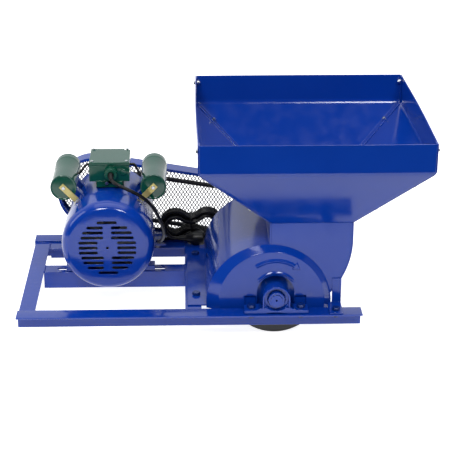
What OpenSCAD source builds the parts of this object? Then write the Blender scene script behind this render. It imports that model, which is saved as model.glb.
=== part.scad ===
// Belt-driven grape and fruit crusher: angle-iron frame, electric motor on slotted rails,
// crushing chamber with a bladed rotor over a slotted screen, bolted sheet hopper, belt guard.
// Lengths are millimetres. Inside the modules X runs from the frame's left end, Y from its
// front edge and Z from the top face of the long rails; on_frame() moves the whole machine so
// that the origin is the middle of the frame, level with the underside of the rails' flanges.

/* [Frame] */
// Length of the two long rails
frame_l = 750; // [745:1:960]
// Depth over the outward flanges of the two long rails
frame_d = 472; // [450:1:580]
// Leg of the long rails and of the motor rails
rail_leg = 40; // [38:1:44]
// Wall of all the angle iron
rail_t = 4; // [3:0.5:5]
// Leg of the two cross members
cross_leg = 36; // [34:1:38]
// Inset of the left cross member from the rails' ends
cross_inset = 2; // [0:1:10]

/* [Crushing chamber] */
// Rotor shaft axis from the left end of the rails
mill_x = 563; // [550:1:570]
// Rotor shaft axis above the top of the rails
mill_z = 33; // [32:1:40]
// Gap between a long rail's inner face and the chamber
chamber_gap = 22; // [18:1:34]
// Extra gap behind the chamber, in front of the rear rail
chamber_rear_gap = 30; // [20:1:40]
// Sheet of the drum cover and the curved wall
sheet_t = 3; // [2:0.5:3]
// End plates of the chamber
plate_t = 3; // [2:0.5:5]
// Outer radius of the drum cover
cover_r = 137; // [130:1:140]
// Drum cover's centre left of the shaft axis
cover_off = 14; // [10:1:18]
// Drum cover's centre above the rails
cover_z = 4; // [2:1:8]
// Outer radius of the curved right wall
wall_r = 190; // [184:1:196]
// Height at which the right wall starts to curve
wall_z = 149; // [140:1:156]
// Width of the chamber's neck
neck_w = 181; // [170:1:181]
// Top of the chamber's neck above the rails
neck_z = 190; // [170:1:240]
// Outer radius of the slotted screen
screen_r = 102; // [98:1:104]
// Sheet of the slotted screen
screen_t = 2.5; // [1.5:0.5:3]

/* [Front cover] */
// Radius of the pressed cover's flat face
dish_face_r = 114; // [108:1:120]
// Depth of the pressed cover
dish_depth = 15; // [10:1:17]
// Radius of the opening round the bearing
dish_open_r = 40; // [38:1:46]

/* [Rotor] */
// Rotor shaft diameter
shaft_d = 25; // [20:1:28]
// Rotor hub diameter
hub_d = 52; // [46:1:60]
// Rotor disc diameter
disc_d = 132; // [120:1:140]
// Radius at the tips of the beater bars
beater_r = 90; // [84:1:93]
// Number of beater bars
beaters = 4; // [2:1:4]

/* [Bearing housings] */
// Length of a bearing housing's foot
housing_l = 140; // [134:1:150]
// Depth of a bearing housing's foot
housing_d = 32; // [30:1:36]
// Radius of a bearing housing's barrel
barrel_r = 30; // [29:1:32]
// Distance between a housing's two bolts
housing_pitch = 108; // [100:1:112]

/* [Belt drive] */
// Outside diameter of both pulleys
pulley_d = 120; // [100:1:126]
// Width of a pulley
pulley_w = 20; // [18:1:24]
// Belt centre line behind the frame
belt_off = 34; // [32:1:40]
// Top width of the V-belt
belt_w = 13; // [12:0.5:13]
// Height of the V-belt
belt_h = 8; // [7:0.5:8]
// Outer radius of the belt guard's ends
guard_r = 90; // [86:1:96]
// Depth of the belt guard
guard_d = 42; // [40:1:50]
// Sheet of the belt guard
guard_t = 1.5; // [1:0.5:2]

/* [Motor] */
// Motor axis from the left end of the rails
motor_x = 193; // [188:1:200]
// Motor shaft height above its feet
motor_h = 100; // [100:1:112]
// Distance between the front and rear foot holes
foot_pitch_y = 140; // [134:1:150]
// Distance between the left and right foot holes
foot_pitch_x = 160; // [150:1:166]
// Width over the feet
foot_w = 205; // [196:1:212]
// Radius of the motor body
body_r = 98; // [94:1:98]
// Radius of the fan cowl
cowl_r = 104; // [103:1:106]
// Length of the fan cowl
cowl_l = 90; // [86:1:94]
// Motor shaft diameter
motor_shaft_d = 28; // [24:1:30]
// Length of the slots in the motor rails
slot_l = 76; // [66:1:80]

/* [Terminal box and capacitors] */
// Width of the terminal box
box_w = 92; // [84:1:96]
// Depth of the terminal box
box_d = 98; // [90:1:104]
// Height of the terminal box with its lid
box_h = 46; // [42:1:50]
// Capacitor cover diameter
cap_d = 60; // [54:1:62]
// Capacitor cover length
cap_l = 155; // [120:1:160]
// Capacitor axis beside the motor axis
cap_off_x = 102; // [100:1:108]
// Capacitor axis above the motor axis
cap_off_z = 105; // [104:1:112]

/* [Hopper] */
// Width of the hopper's mouth
hopper_w = 493; // [420:1:600]
// Depth of the hopper's mouth
hopper_d = 521; // [440:1:620]
// Height of the hopper's upright band
band_h = 65; // [50:1:90]
// Height of the hopper's sloping part
slope_h = 143; // [120:1:180]
// Hopper sheet
hopper_t = 2; // [1.5:0.5:2.5]

/* [Cord] */
// Diameter of the mains lead
cord_d = 8; // [8:1:8]

/* [Hidden] */

$fn = 96;
eps = 0.01;                 // overshoot of a cut beyond the face that it opens
fit = 0.05;                 // radial clearance of a turned fit
seam = 0.2;                 // gap between curved sheets of one body
slide = 0.3;                // gap between a fixed and a moving part
round_fn = 32;              // facets of a hull's own children
m12_hole = 12.5;
m10_hole = 10.5;
m6_hole = 6.6;
m4_hole = 4.2;

blue = [0.02, 0.12, 0.55];
dark_blue = [0.02, 0.09, 0.42];
green = [0.03, 0.30, 0.24];
black = [0.05, 0.05, 0.06];
steel = [0.72, 0.73, 0.75];
zinc = [0.80, 0.81, 0.83];
brass = [0.80, 0.70, 0.30];
copper = [0.72, 0.42, 0.20];

// Frame and motor rails
rear_y = frame_d - rail_leg;                    // inner face of the rear rail
mid_x = mill_x - cover_off - cover_r - 46.5;    // left face of the mid cross member
rear_hole_y = rear_y - rail_leg / 2;            // row of the rear motor bolts
front_hole_y = rear_hole_y - foot_pitch_y;      // row of the front motor bolts
rails_x0 = cross_inset + cross_leg;             // left end of the motor rails
motor_z = motor_h - rail_t;                     // motor axis above the long rails
slot_w = 11;
slot_x = [motor_x - 86, motor_x + 90];

// Chamber
case_y0 = rail_leg + chamber_gap;
case_y1 = rear_y - chamber_rear_gap - chamber_gap;
cover_x = mill_x - cover_off;
neck_x0 = cover_x + 1;
neck_x1 = neck_x0 + neck_w;
wall_x = neck_x1 - wall_r;
neck_bend_z = cover_z + sqrt(cover_r * cover_r - 1);
floor_z = -rail_t + sheet_t;                    // top of the foot flange and the floor
screen_x = sqrt(screen_r * screen_r - pow(mill_z - floor_z, 2));
case_foot_x = mid_x + 5;                        // left edge of the foot flange
right_foot_x = mill_x + 130;                    // middle of the right feet
foot_strip_w = 30;
foot_bolt_x = mid_x + 25;
foot_bolt_y = [case_y0 + 53, case_y1 - 37];
notch_dx = housing_pitch / 2 + 1;               // notches in the cover over the bearing's bolts
notch_w = 25;
notch_z = 28;
neck_bolt_y = [case_y0 + 60, case_y1 - 60];
neck_bolt_z = neck_z - 14;

// Rotor and bearings
bearing_y = [rail_leg / 2 + 3, frame_d - rail_leg / 2];
barrel_d = 29;
ring_r = 26;                                    // outer radius of the bearings
ring_w = 15;
race_t = 5;
ball_r = 4;
ball_ring_r = (ring_r - 6 + shaft_d / 2 + race_t) / 2;
belt_y = frame_d + belt_off;
shaft_y0 = 5;
shaft_y1 = belt_y + 14;
rotor_y0 = case_y0 + plate_t + 7;
rotor_y1 = case_y1 - plate_t - 7;
beater_w = 10;
beater_root = 42;

// Belt guard
drive_dx = mill_x - motor_x;
drive_dz = mill_z - motor_z;
drive_l = sqrt(drive_dx * drive_dx + drive_dz * drive_dz);
drive_a = atan2(drive_dz, drive_dx);
guard_over = 48;                                // guard reaches further left for the motor
guard_y0 = belt_y - guard_d / 2;
guard_y1 = belt_y + guard_d / 2;
lip = 7;
bracket_x = [475, 563];

// Motor
motor_y0 = front_hole_y - 20 - cowl_l - 5;      // face of the fan cowl
cowl_t = 1.5;
body_y0 = motor_y0 + cowl_l - 2;
body_y1 = rear_y - 7;
shield_y1 = body_y1 + 36;
motor_shaft_y1 = belt_y + 14;
cowl_face_r = 86;
cowl_round = 27;
slot_rows = 11;
cowl_pitch = 12.1;
cowl_slot_h = 6.5;
cowl_screw_a = [45, 135, 225, 315];
// Rows of the grille: outer end and inner end of the slots, counted from the middle row
grille_outer = [64, 64, 59, 55, 45, 22];
grille_inner = [22, 22, 9, 9, 9, 0];

// Terminal box
box_x = motor_x + 2;
box_y0 = front_hole_y + 8;
box_z1 = motor_z + body_r + 61;
lid_h = 8;
box_z0 = box_z1 - box_h;
gland_x = box_x + 4;
gland_z = box_z0 + 22;
gland_y = box_y0 - 18;

// Capacitors
cap_y0 = front_hole_y - 10;
cap_z = motor_z + cap_off_z;
cap_t = 2;

// Hopper
hop_z0 = neck_z;
hop_z1 = neck_z + slope_h;
hop_z2 = hop_z1 + band_h;
hop_cx = (neck_x0 + neck_x1) / 2;
hop_cy = (case_y0 + case_y1) / 2 + 9;
hop_x0 = hop_cx - hopper_w / 2;
hop_x1 = hop_cx + hopper_w / 2;
hop_y0 = hop_cy - hopper_d / 2;
hop_y1 = hop_cy + hopper_d / 2;
flange_w = 22;
bolt_in = 11;
collar_h = 28;
// Plan corners of the mouth and of the neck, counted from the front left
mouth = [[hop_x0, hop_y0], [hop_x1, hop_y0], [hop_x1, hop_y1], [hop_x0, hop_y1]];
throat = [[neck_x0, case_y0], [neck_x1, case_y0], [neck_x1, case_y1], [neck_x0, case_y1]];

// Lead: from the gland over the motor's shoulder, down beside it and into the hank's front
hank_c = [382, 448, 37.4];
hank_r = 37;                                    // outer radius of the hank's two loops
hank_off = 39;
hank_waist = 22;
hank_t = 40;
plug_d = 34;
cord_route = [[gland_x, gland_y, gland_z], [200, 245, 230], [206, 230, 226], [220, 219, 221],
              [238, 216, 213], [256, 218, 203], [272, 224, 190], [287, 234, 172],
              [298, 248, 150], [306, 266, 126], [312, 286, 102], [316, 306, 80],
              [317, 326, 60], [315, 346, 42], [311, 364, 28], [306, 380, 18],
              [303, 395, 11], [304, 408, 7], [310, 419, 5], [319, 427, 4.4],
              [329, 431, 4.4]];
lead_r = 3;

// ---------- helpers ----------

// Moves the machine to its own origin
module on_frame() {
    translate([-frame_l / 2, -frame_d / 2, rail_t]) children();
}

// Extrudes an outline drawn in X and Z from y0 to y1
module slab(y0, y1) {
    translate([0, y1, 0]) rotate([90, 0, 0]) linear_extrude(y1 - y0) children();
}

// A cylinder along +Y
module rod(x, y0, y1, z, r, sides = 96) {
    translate([x, y0, z]) rotate([-90, 0, 0]) cylinder(h = y1 - y0, r = r, $fn = sides);
}

// A ring along +Y
module ring(x, y0, y1, z, r_out, r_in) {
    difference() {
        rod(x, y0, y1, z, r_out);
        rod(x, y0 - 1, y1 + 1, z, r_in);
    }
}

// Hexagon bolt from the origin: head above z = 0, shank and nut below
module hex_bolt(d, head_w, head_h, grip, nut_h) {
    cylinder(h = head_h, d = head_w, $fn = 6);
    translate([0, 0, -grip - nut_h - 2]) cylinder(h = grip + nut_h + 2 + eps, d = d, $fn = 24);
    translate([0, 0, -grip - nut_h]) cylinder(h = nut_h, d = head_w, $fn = 6);
}

// Small screw from the origin: round head above z = 0, shank below
module pan_screw(d, head_d, length) {
    cylinder(h = head_d * 0.35, d = head_d, $fn = 24);
    translate([0, 0, -length]) cylinder(h = length + eps, d = d, $fn = 24);
}

// Straight slot along X, cut down through a flange
module slot_cut(cx, cy, length, width) {
    translate([0, 0, -2 * rail_leg]) linear_extrude(3 * rail_leg) {
        translate([cx - (length - width) / 2, cy - width / 2]) square([length - width, width]);
        for (s = [-1, 1]) translate([cx + s * (length - width) / 2, cy]) circle(d = width, $fn = 32);
    }
}

function unit(v) = v / norm(v);
function tangent(p, i) = unit(p[min(i + 1, len(p) - 1)] - p[max(i - 1, 0)]);

// A point of the smooth curve through the points p, at i + t
function smooth_at(p, i, t) =
    let (n = len(p) - 1, a = p[max(i - 1, 0)], b = p[i], c = p[min(i + 1, n)], d = p[min(i + 2, n)])
    0.5 * (2 * b + (c - a) * t + (2 * a - 5 * b + 4 * c - d) * t * t
           + (3 * b - a - 3 * c + d) * t * t * t);
function smooth(p, steps) = concat(
    [for (i = [0:len(p) - 2]) for (k = [0:steps - 1]) smooth_at(p, i, k / steps)],
    [p[len(p) - 1]]);

// Carries a side vector along the path without twisting it
function frames(p, i = 0, side = [0, 0, 1], out = []) =
    i >= len(p) ? out :
    let (t = tangent(p, i), s = unit(side - t * (side * t)))
    frames(p, i + 1, s, concat(out, [[t, s]]));

// Round tube swept along the points p as one closed polyhedron
module tube(p, r, sides) {
    f = frames(p);
    n = len(p);
    pts = [for (i = [0:n - 1]) for (k = [0:sides - 1])
        let (s = f[i][1], b = cross(f[i][0], s), a = 360 * k / sides)
        p[i] + r * (cos(a) * s + sin(a) * b)];
    walls = [for (i = [0:n - 2]) for (k = [0:sides - 1]) for (half = [0, 1])
        let (a = i * sides + k, b = i * sides + (k + 1) % sides)
        half == 0 ? [a, a + sides, b + sides] : [a, b + sides, b]];
    caps = [for (k = [1:sides - 2]) for (end = [0, 1])
        end == 0 ? [0, k, k + 1] : [(n - 1) * sides, (n - 1) * sides + k + 1, (n - 1) * sides + k]];
    polyhedron(pts, concat(walls, caps));
}

// ---------- frame ----------

// Long rail with its flange outward (towards -Y) and its web on the inner side
module long_rail() {
    translate([0, 0, -rail_t]) cube([frame_l, rail_leg, rail_t]);
    translate([0, rail_leg - rail_t, -rail_leg]) cube([frame_l, rail_t, rail_leg]);
}

// Vertical holes for the bearing bolts and a foot bolt of one long rail
module rail_holes(y, foot_y) {
    for (s = [-1, 1]) translate([mill_x + s * housing_pitch / 2, y, -rail_leg / 2])
        cylinder(h = rail_leg, d = m12_hole);
    translate([right_foot_x, foot_y, -rail_leg / 2]) cylinder(h = rail_leg, d = m10_hole);
}

module front_rail() {
    color(blue) on_frame() difference() {
        long_rail();
        rail_holes(bearing_y[0], rail_leg / 2);
    }
}

module rear_rail() {
    color(blue) on_frame() difference() {
        translate([0, frame_d, 0]) mirror([0, 1, 0]) long_rail();
        rail_holes(bearing_y[1], frame_d - rail_leg / 2);
    }
}

// Cross member between the long rails: flange on top, web on its left side
module cross_member(x, holes) {
    difference() {
        union() {
            translate([x, rail_leg, -2 * rail_t]) cube([cross_leg, rear_y - rail_leg, rail_t]);
            translate([x, rail_leg, -rail_t - cross_leg])
                cube([rail_t, rear_y - rail_leg, cross_leg]);
        }
        for (y = holes) translate([foot_bolt_x, y, -rail_leg / 2])
            cylinder(h = rail_leg, d = m10_hole);
    }
}

module left_cross_member() { color(blue) on_frame() cross_member(cross_inset, []); }
module mid_cross_member() { color(blue) on_frame() cross_member(mid_x, foot_bolt_y); }

// Motor rail whose flange spans y0 to y0 + rail_leg, web at web_y
module motor_rail(y0, web_y) {
    difference() {
        union() {
            translate([rails_x0, y0, -2 * rail_t]) cube([mid_x - rails_x0, rail_leg, rail_t]);
            translate([rails_x0, web_y, -rail_t - rail_leg])
                cube([mid_x - rails_x0, rail_t, rail_leg]);
        }
        for (x = slot_x) slot_cut(x, y0 + rail_leg / 2, slot_l, slot_w);
    }
}

module front_motor_rail() {
    color(blue) on_frame()
        motor_rail(front_hole_y - rail_leg / 2, front_hole_y - rail_leg / 2);
}

module rear_motor_rail() {
    color(blue) on_frame() motor_rail(rear_y - rail_leg, rear_y - rail_t);
}

// ---------- crushing chamber ----------

// Side view of the chamber, drawn in X and Z and set in from its outside by e
module chamber_outline(e) {
    translate([neck_x0 + e, wall_z - eps]) square([neck_w - 2 * e, neck_z - wall_z + eps]);
    intersection() {
        translate([cover_x, cover_z]) circle(r = cover_r - e);
        translate([cover_x - cover_r, floor_z]) square([cover_r + 60, cover_r + 10]);
    }
    intersection() {
        translate([wall_x, wall_z]) circle(r = wall_r - e);
        translate([neck_x0 + e, floor_z]) square([wall_r, wall_z - floor_z]);
    }
}

module end_plate_outline() {
    chamber_outline(sheet_t + seam);
    intersection() {
        translate([mill_x, mill_z]) circle(r = screen_r);
        translate([mill_x - 150, -150]) square([300, 150 + floor_z + eps]);
    }
}

module end_plate(y0) {
    difference() {
        slab(y0, y0 + plate_t) end_plate_outline();
        rod(mill_x, y0 - 1, y0 + plate_t + 1, mill_z, shaft_d / 2 + 4);
    }
}

module casing_front_plate() { color(blue) on_frame() end_plate(case_y0); }
module casing_rear_plate() { color(blue) on_frame() end_plate(case_y1 - plate_t); }

// Curved sheet over the drum, with the neck's left wall, its foot flange and the floor
module drum_cover() {
    color(blue) on_frame() difference() {
        slab(case_y0, case_y1) {
            intersection() {
                difference() {
                    translate([cover_x, cover_z]) circle(r = cover_r);
                    translate([cover_x, cover_z]) circle(r = cover_r - sheet_t);
                }
                translate([cover_x - cover_r, cover_z])
                    square([cover_r + neck_x0 - cover_x, cover_r + 1]);
            }
            translate([neck_x0, neck_bend_z - sheet_t]) square([sheet_t, neck_z - neck_bend_z + sheet_t]);
            translate([cover_x - cover_r, -rail_t]) square([sheet_t, cover_z + rail_t + eps]);
            translate([case_foot_x, -rail_t])
                square([mill_x - screen_x - seam - case_foot_x, sheet_t]);
        }
        for (y = foot_bolt_y) translate([foot_bolt_x, y, -rail_leg / 2])
            cylinder(h = rail_leg, d = m10_hole);
        neck_bolt_holes();
    }
}

module casing_right_wall() {
    color(blue) on_frame() difference() {
        slab(case_y0, case_y1) {
            intersection() {
                difference() {
                    translate([wall_x, wall_z]) circle(r = wall_r);
                    translate([wall_x, wall_z]) circle(r = wall_r - sheet_t);
                }
                translate([wall_x, floor_z]) square([wall_r + 1, wall_z - floor_z]);
            }
            translate([neck_x1 - sheet_t, wall_z]) square([sheet_t, neck_z - wall_z]);
        }
        neck_bolt_holes();
    }
}

// Holes of the bolts that hold the hopper's collar in the neck
module neck_bolt_holes() {
    for (y = neck_bolt_y) translate([neck_x0 - 20, y, neck_bolt_z])
        rotate([0, 90, 0]) cylinder(h = neck_w + 40, d = m6_hole);
}

// Half-round slotted screen under the rotor
module lower_screen() {
    rows = 7;
    bays = 5;
    bay = (case_y1 - case_y0 - 2 * plate_t) / bays;
    color(dark_blue) on_frame() difference() {
        slab(case_y0 + plate_t, case_y1 - plate_t) intersection() {
            translate([mill_x, mill_z]) difference() {
                circle(r = screen_r);
                circle(r = screen_r - screen_t);
            }
            translate([mill_x - 150, -150]) square([300, 150 + floor_z]);
        }
        for (i = [0:rows - 1]) for (k = [0:bays - 1])
            translate([mill_x, case_y0 + plate_t + (k + 0.5) * bay, mill_z])
                rotate([0, 42 - 14 * i, 0]) translate([-5, -bay / 2 + 8, -screen_r - 5])
                    cube([10, bay - 16, 15]);
    }
}

// Pressed cover over the chamber's front, with a raised rotation arrow
module dish_body(e) {
    hull() {
        rod(cover_x, case_y0 - 1.5, case_y0, cover_z, cover_r - e, round_fn * 3);
        rod(cover_x + 6, case_y0 - dish_depth + e, case_y0 - dish_depth + e + 1, cover_z + 10,
            dish_face_r - e * 0.7, round_fn * 3);
    }
}

module half_round_cover() {
    open_y = case_y0 - dish_depth;
    arrow_r = 78;
    color(blue) on_frame() difference() {
        union() {
            difference() {
                dish_body(0);
                translate([0, 2, 0]) dish_body(2);
            }
            intersection() {
                slab(open_y - 1.5, open_y + eps) translate([mill_x, mill_z]) {
                    difference() {
                        circle(r = dish_open_r + 5);
                        circle(r = dish_open_r + 2);
                    }
                    difference() {
                        circle(r = arrow_r + 4);
                        circle(r = arrow_r - 4);
                        rotate(38) translate([0, -150]) square([300, 300]);
                        rotate(142) translate([0, -150]) square([300, 300]);
                        translate([-200, -350]) square([400, 350]);
                    }
                    rotate(50) translate([arrow_r, 0])
                        polygon([[-9, 1], [9, 1], [1, -16]]);
                }
                rod(cover_x + 6, open_y - 3, open_y + 3, cover_z + 10, dish_face_r - 2);
            }
        }
        rod(mill_x, open_y - 5, case_y0 + 5, mill_z, dish_open_r);
        translate([mill_x - dish_open_r, open_y - 5, -cover_r])
            cube([2 * dish_open_r, dish_depth + 10, cover_r + mill_z]);
        translate([0, open_y - 5, -2 * cover_r]) cube([frame_l, dish_depth + 10, 2 * cover_r + cover_z]);
        for (s = [-1, 1]) translate([mill_x + s * notch_dx - notch_w / 2, open_y - 5, 0])
            cube([notch_w, dish_depth + 10, notch_z]);
    }
}

// Foot of the chamber: a strip on the rail from y0 to y1 and an upright against the end
// plate, from x0 to the strip's right side and from plate_y
module casing_foot(y0, y1, x0, plate_y) {
    upright_h = 60;
    left = right_foot_x - foot_strip_w / 2;
    right = left + foot_strip_w;
    difference() {
        translate([left, y0, 0]) cube([foot_strip_w, y1 - y0, plate_t]);
        translate([right_foot_x, frame_d - rail_leg / 2, -1]) cylinder(h = 10, d = m10_hole);
        translate([right_foot_x, rail_leg / 2, -1]) cylinder(h = 10, d = m10_hole);
    }
    translate([x0, plate_y, 0]) cube([right - x0, plate_t, upright_h]);
}

module casing_feet() {
    edge = 3;
    color(blue) on_frame() {
        casing_foot(edge, case_y0, cover_x + cover_r + 2, case_y0 - plate_t);
        casing_foot(case_y1, frame_d - edge, right_foot_x - foot_strip_w / 2 - 14, case_y1);
    }
}

module casing_bolts() {
    color(dark_blue) on_frame() {
        for (y = foot_bolt_y) translate([foot_bolt_x, y, floor_z]) hex_bolt(10, 18, 7, 7, 8);
        for (y = [rail_leg / 2, frame_d - rail_leg / 2])
            translate([right_foot_x, y, plate_t]) hex_bolt(10, 17, 7, 7, 8);
    }
}

// ---------- bearings ----------

// Side view of the housing's barrel, with straight sides down to the foot, set in by e
module barrel_outline(e) {
    translate([mill_x, mill_z]) circle(r = barrel_r - e);
    translate([mill_x - barrel_r + e, 9 + e]) square([2 * (barrel_r - e), mill_z - 9 - e]);
}

// Cast pillow block across a long rail: foot with an arched underside, and a barrel
module bearing_housing(y) {
    foot_t = 9;
    recess = 4;
    y0 = y - housing_d / 2;
    difference() {
        union() {
            slab(y0, y0 + housing_d) difference() {
                union() {
                    translate([mill_x - housing_l / 2, 0]) square([housing_l, foot_t]);
                    polygon([[mill_x - barrel_r - 14, foot_t], [mill_x + barrel_r + 14, foot_t],
                             [mill_x + barrel_r, foot_t + 6], [mill_x - barrel_r, foot_t + 6]]);
                }
                translate([mill_x, -118]) circle(r = 121);
            }
            slab(y - barrel_d / 2, y + barrel_d / 2) barrel_outline(0);
        }
        for (s = [-1, 1]) slab(y + s * (barrel_d / 2 - recess / 2) - recess / 2 - eps,
            y + s * (barrel_d / 2 - recess / 2) + recess / 2 + eps) barrel_outline(recess);
        rod(mill_x, y0 - 1, y0 + housing_d + 1, mill_z, ring_r);
        for (s = [-1, 1]) translate([mill_x + s * housing_pitch / 2, y, -1])
            cylinder(h = foot_t + 3, d = m12_hole);
    }
}

module front_bearing_housing() { color(blue) on_frame() bearing_housing(bearing_y[0]); }
module rear_bearing_housing() { color(blue) on_frame() bearing_housing(bearing_y[1]); }

module bearing_outer_rings() {
    color(steel) on_frame() for (y = bearing_y) difference() {
        ring(mill_x, y - ring_w / 2, y + ring_w / 2, mill_z, ring_r, ring_r - 6);
        translate([mill_x, y, mill_z]) rotate([90, 0, 0])
            rotate_extrude() translate([ball_ring_r, 0]) circle(r = ball_r + fit);
    }
}

// Inner rings with their set collars, and the balls that run with them
module bearing_inner_rings() {
    balls = 9;
    color(steel) on_frame() for (y = bearing_y) {
        difference() {
            rod(mill_x, y - 16, y + 16, mill_z, shaft_d / 2 + race_t);
            rod(mill_x, y - 17, y + 17, mill_z, shaft_d / 2 + fit);
            translate([mill_x, y, mill_z]) rotate([90, 0, 0])
                rotate_extrude() translate([ball_ring_r, 0]) circle(r = ball_r + fit);
        }
        for (k = [0:balls - 1]) translate([mill_x, y, mill_z]) rotate([0, 360 * k / balls, 0])
            translate([ball_ring_r, 0, 0]) sphere(r = ball_r, $fn = 32);
    }
}

module bearing_bolts() {
    color(dark_blue) on_frame() for (y = bearing_y) for (s = [-1, 1])
        translate([mill_x + s * housing_pitch / 2, y, 9]) hex_bolt(12, 18, 8, 13, 9);
}

// ---------- rotor ----------

module main_shaft() {
    color(steel) on_frame() difference() {
        rod(mill_x, shaft_y0, shaft_y1, mill_z, shaft_d / 2);
        rod(mill_x, shaft_y0 - 1, shaft_y0 + 5, mill_z, 2.2);
    }
}

module rotor_hub() {
    color(steel) on_frame()
        ring(mill_x, rotor_y0, rotor_y1, mill_z, hub_d / 2, shaft_d / 2 + fit);
}

// Outline of the beater bars round the shaft, grown by e
module beater_outline(e) {
    translate([mill_x, mill_z]) for (k = [0:beaters - 1]) rotate(45 + 360 * k / beaters)
        translate([beater_root - e, -beater_w / 2 - e])
            square([beater_r - beater_root + 2 * e, beater_w + 2 * e]);
}

module rotor_discs() {
    discs = 4;
    disc_t = 5;
    step = (rotor_y1 - rotor_y0 - disc_t - 20) / (discs - 1);
    color(dark_blue) on_frame() for (k = [0:discs - 1])
        slab(rotor_y0 + 10 + k * step, rotor_y0 + 10 + k * step + disc_t) difference() {
            translate([mill_x, mill_z]) circle(d = disc_d);
            translate([mill_x, mill_z]) circle(r = hub_d / 2 + fit);
            beater_outline(fit);
        }
}

// Bars along the drum, with a row of gullets in each working edge
module beater_bars() {
    gullets = 9;
    pitch = (rotor_y1 - rotor_y0) / gullets;
    color(steel) on_frame() difference() {
        slab(rotor_y0, rotor_y1) beater_outline(0);
        for (k = [0:gullets - 1]) ring(mill_x, rotor_y0 + (k + 0.5) * pitch - 5,
            rotor_y0 + (k + 0.5) * pitch + 5, mill_z, beater_r + 5, beater_r - 14);
    }
}

// V-pulley on the axis x, z, with a hub towards the machine
module pulley(x, z, bore_d) {
    hub_r = 26;
    groove = belt_h + 2;
    r = pulley_d / 2;
    translate([x, belt_y, z]) rotate([90, 0, 0]) difference() {
        rotate_extrude() polygon([
            [bore_d / 2 + fit, -12], [hub_r, -12], [hub_r, -4], [r - 18, -4],
            [r - 18, -pulley_w / 2], [r, -pulley_w / 2], [r, -belt_w / 2 - 0.3],
            [r - groove, -belt_w / 2 + 2.2], [r - groove, belt_w / 2 - 2.2],
            [r, belt_w / 2 + 0.3], [r, pulley_w / 2], [r - 18, pulley_w / 2], [r - 18, 4],
            [hub_r, 4], [hub_r, 18], [bore_d / 2 + fit, 18]]);
        for (a = [0:60:300]) rotate(a) translate([(hub_r + r - 18) / 2, 0, -20])
            cylinder(h = 40, d = 10);
    }
}

module mill_pulley() { color(dark_blue) on_frame() pulley(mill_x, mill_z, shaft_d); }
module motor_pulley() { color(dark_blue) on_frame() pulley(motor_x, motor_z, motor_shaft_d); }

// V-belt: two half turns and two straight runs
module drive_belt() {
    r = pulley_d / 2;
    section = [[r - belt_h + 0.5, -belt_w / 2 + 1.9], [r + 0.5, -belt_w / 2],
               [r + 0.5, belt_w / 2], [r - belt_h + 0.5, belt_w / 2 - 1.9]];
    color(black) on_frame() translate([motor_x, belt_y, motor_z]) rotate([0, -drive_a, 0]) {
        rotate([90, -90, 0]) rotate_extrude(angle = 180) polygon(section);
        translate([drive_l, 0, 0]) rotate([90, 90, 0]) rotate_extrude(angle = 180) polygon(section);
        for (s = [0, 1]) mirror([0, 0, s]) rotate([0, 90, 0]) rotate([0, 0, 180])
            linear_extrude(drive_l) polygon(section);
    }
}

// ---------- belt guard ----------

// Outline with round ends round both pulleys, drawn in X and Z
module guard_outline(r) {
    translate([mill_x, mill_z]) rotate(drive_a) {
        translate([-drive_l - guard_over, 0]) circle(r = r);
        circle(r = r);
        translate([-drive_l - guard_over, -r]) square([drive_l + guard_over, 2 * r]);
    }
}

// Height of the guard's lower run at x
function guard_low(x) = mill_z + (x - mill_x) * tan(drive_a) - guard_r / cos(drive_a);

module guard_rim() {
    color(blue) on_frame() {
        slab(guard_y0, guard_y1 - guard_t) difference() {
            guard_outline(guard_r);
            guard_outline(guard_r - guard_t);
        }
        slab(guard_y0, guard_y0 + guard_t) difference() {
            guard_outline(guard_r - guard_t / 2);
            guard_outline(guard_r - lip);
        }
    }
}

// Flattened mesh on the guard's rear face: two families of slanted strands
module guard_mesh() {
    pitch = 26;
    strand = 5;
    count = 26;
    color(dark_blue) on_frame() slab(guard_y1 - guard_t, guard_y1) {
        difference() {
            guard_outline(guard_r);
            guard_outline(guard_r - lip);
        }
        intersection() {
            guard_outline(guard_r - lip / 2);
            translate([(mill_x + motor_x - guard_over) / 2, (mill_z + motor_z) / 2])
                for (a = [32, -32]) for (k = [-count / 2:count / 2])
                    translate([k * pitch, 0]) rotate(a) translate([-strand / 2, -160])
                        square([strand, 320]);
        }
    }
}

// Two angle straps, welded under the rear rail's flange, that carry the guard
module guard_brackets() {
    strap_w = 24;
    strap_t = 3;
    y0 = rear_y + rail_t + 2;
    color(blue) on_frame() for (x = bracket_x) {
        translate([x - strap_w / 2, y0, -rail_t - strap_t]) cube([strap_w, guard_y0 - y0, strap_t]);
        translate([x - strap_w / 2, guard_y0 - strap_t, guard_low(x) + 5])
            cube([strap_w, strap_t, -rail_t - guard_low(x) - 5]);
    }
}

// ---------- motor ----------

module motor_housing() {
    color(blue) on_frame() difference() {
        rod(motor_x, body_y0, body_y1, motor_z, body_r);
        rod(motor_x, body_y0 - 1, body_y1 + 1, motor_z, body_r - 8);
    }
}

// Cast feet, one pair across each motor rail
module motor_feet() {
    color(blue) on_frame() for (y = [front_hole_y, rear_hole_y]) difference() {
        slab(y - 17, y + 13) difference() {
            union() {
                translate([motor_x - foot_w / 2, -rail_t]) square([foot_w, 13]);
                polygon([[motor_x - foot_w / 2 + 30, 8], [motor_x + foot_w / 2 - 30, 8],
                         [motor_x + 62, 50], [motor_x - 62, 50]]);
                for (s = [-1, 1]) translate([motor_x + s * 76 - 6, 0]) square([12, 50]);
            }
            translate([motor_x, motor_z]) circle(r = body_r + fit);
        }
        for (s = [-1, 1]) translate([motor_x + s * foot_pitch_x / 2, y, -rail_leg])
            cylinder(h = 2 * rail_leg, d = 11);
        for (s = [-1, 1]) translate([motor_x + s * foot_pitch_x / 2, y, 9])
            cylinder(h = 60, d = 22);
    }
}

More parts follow.
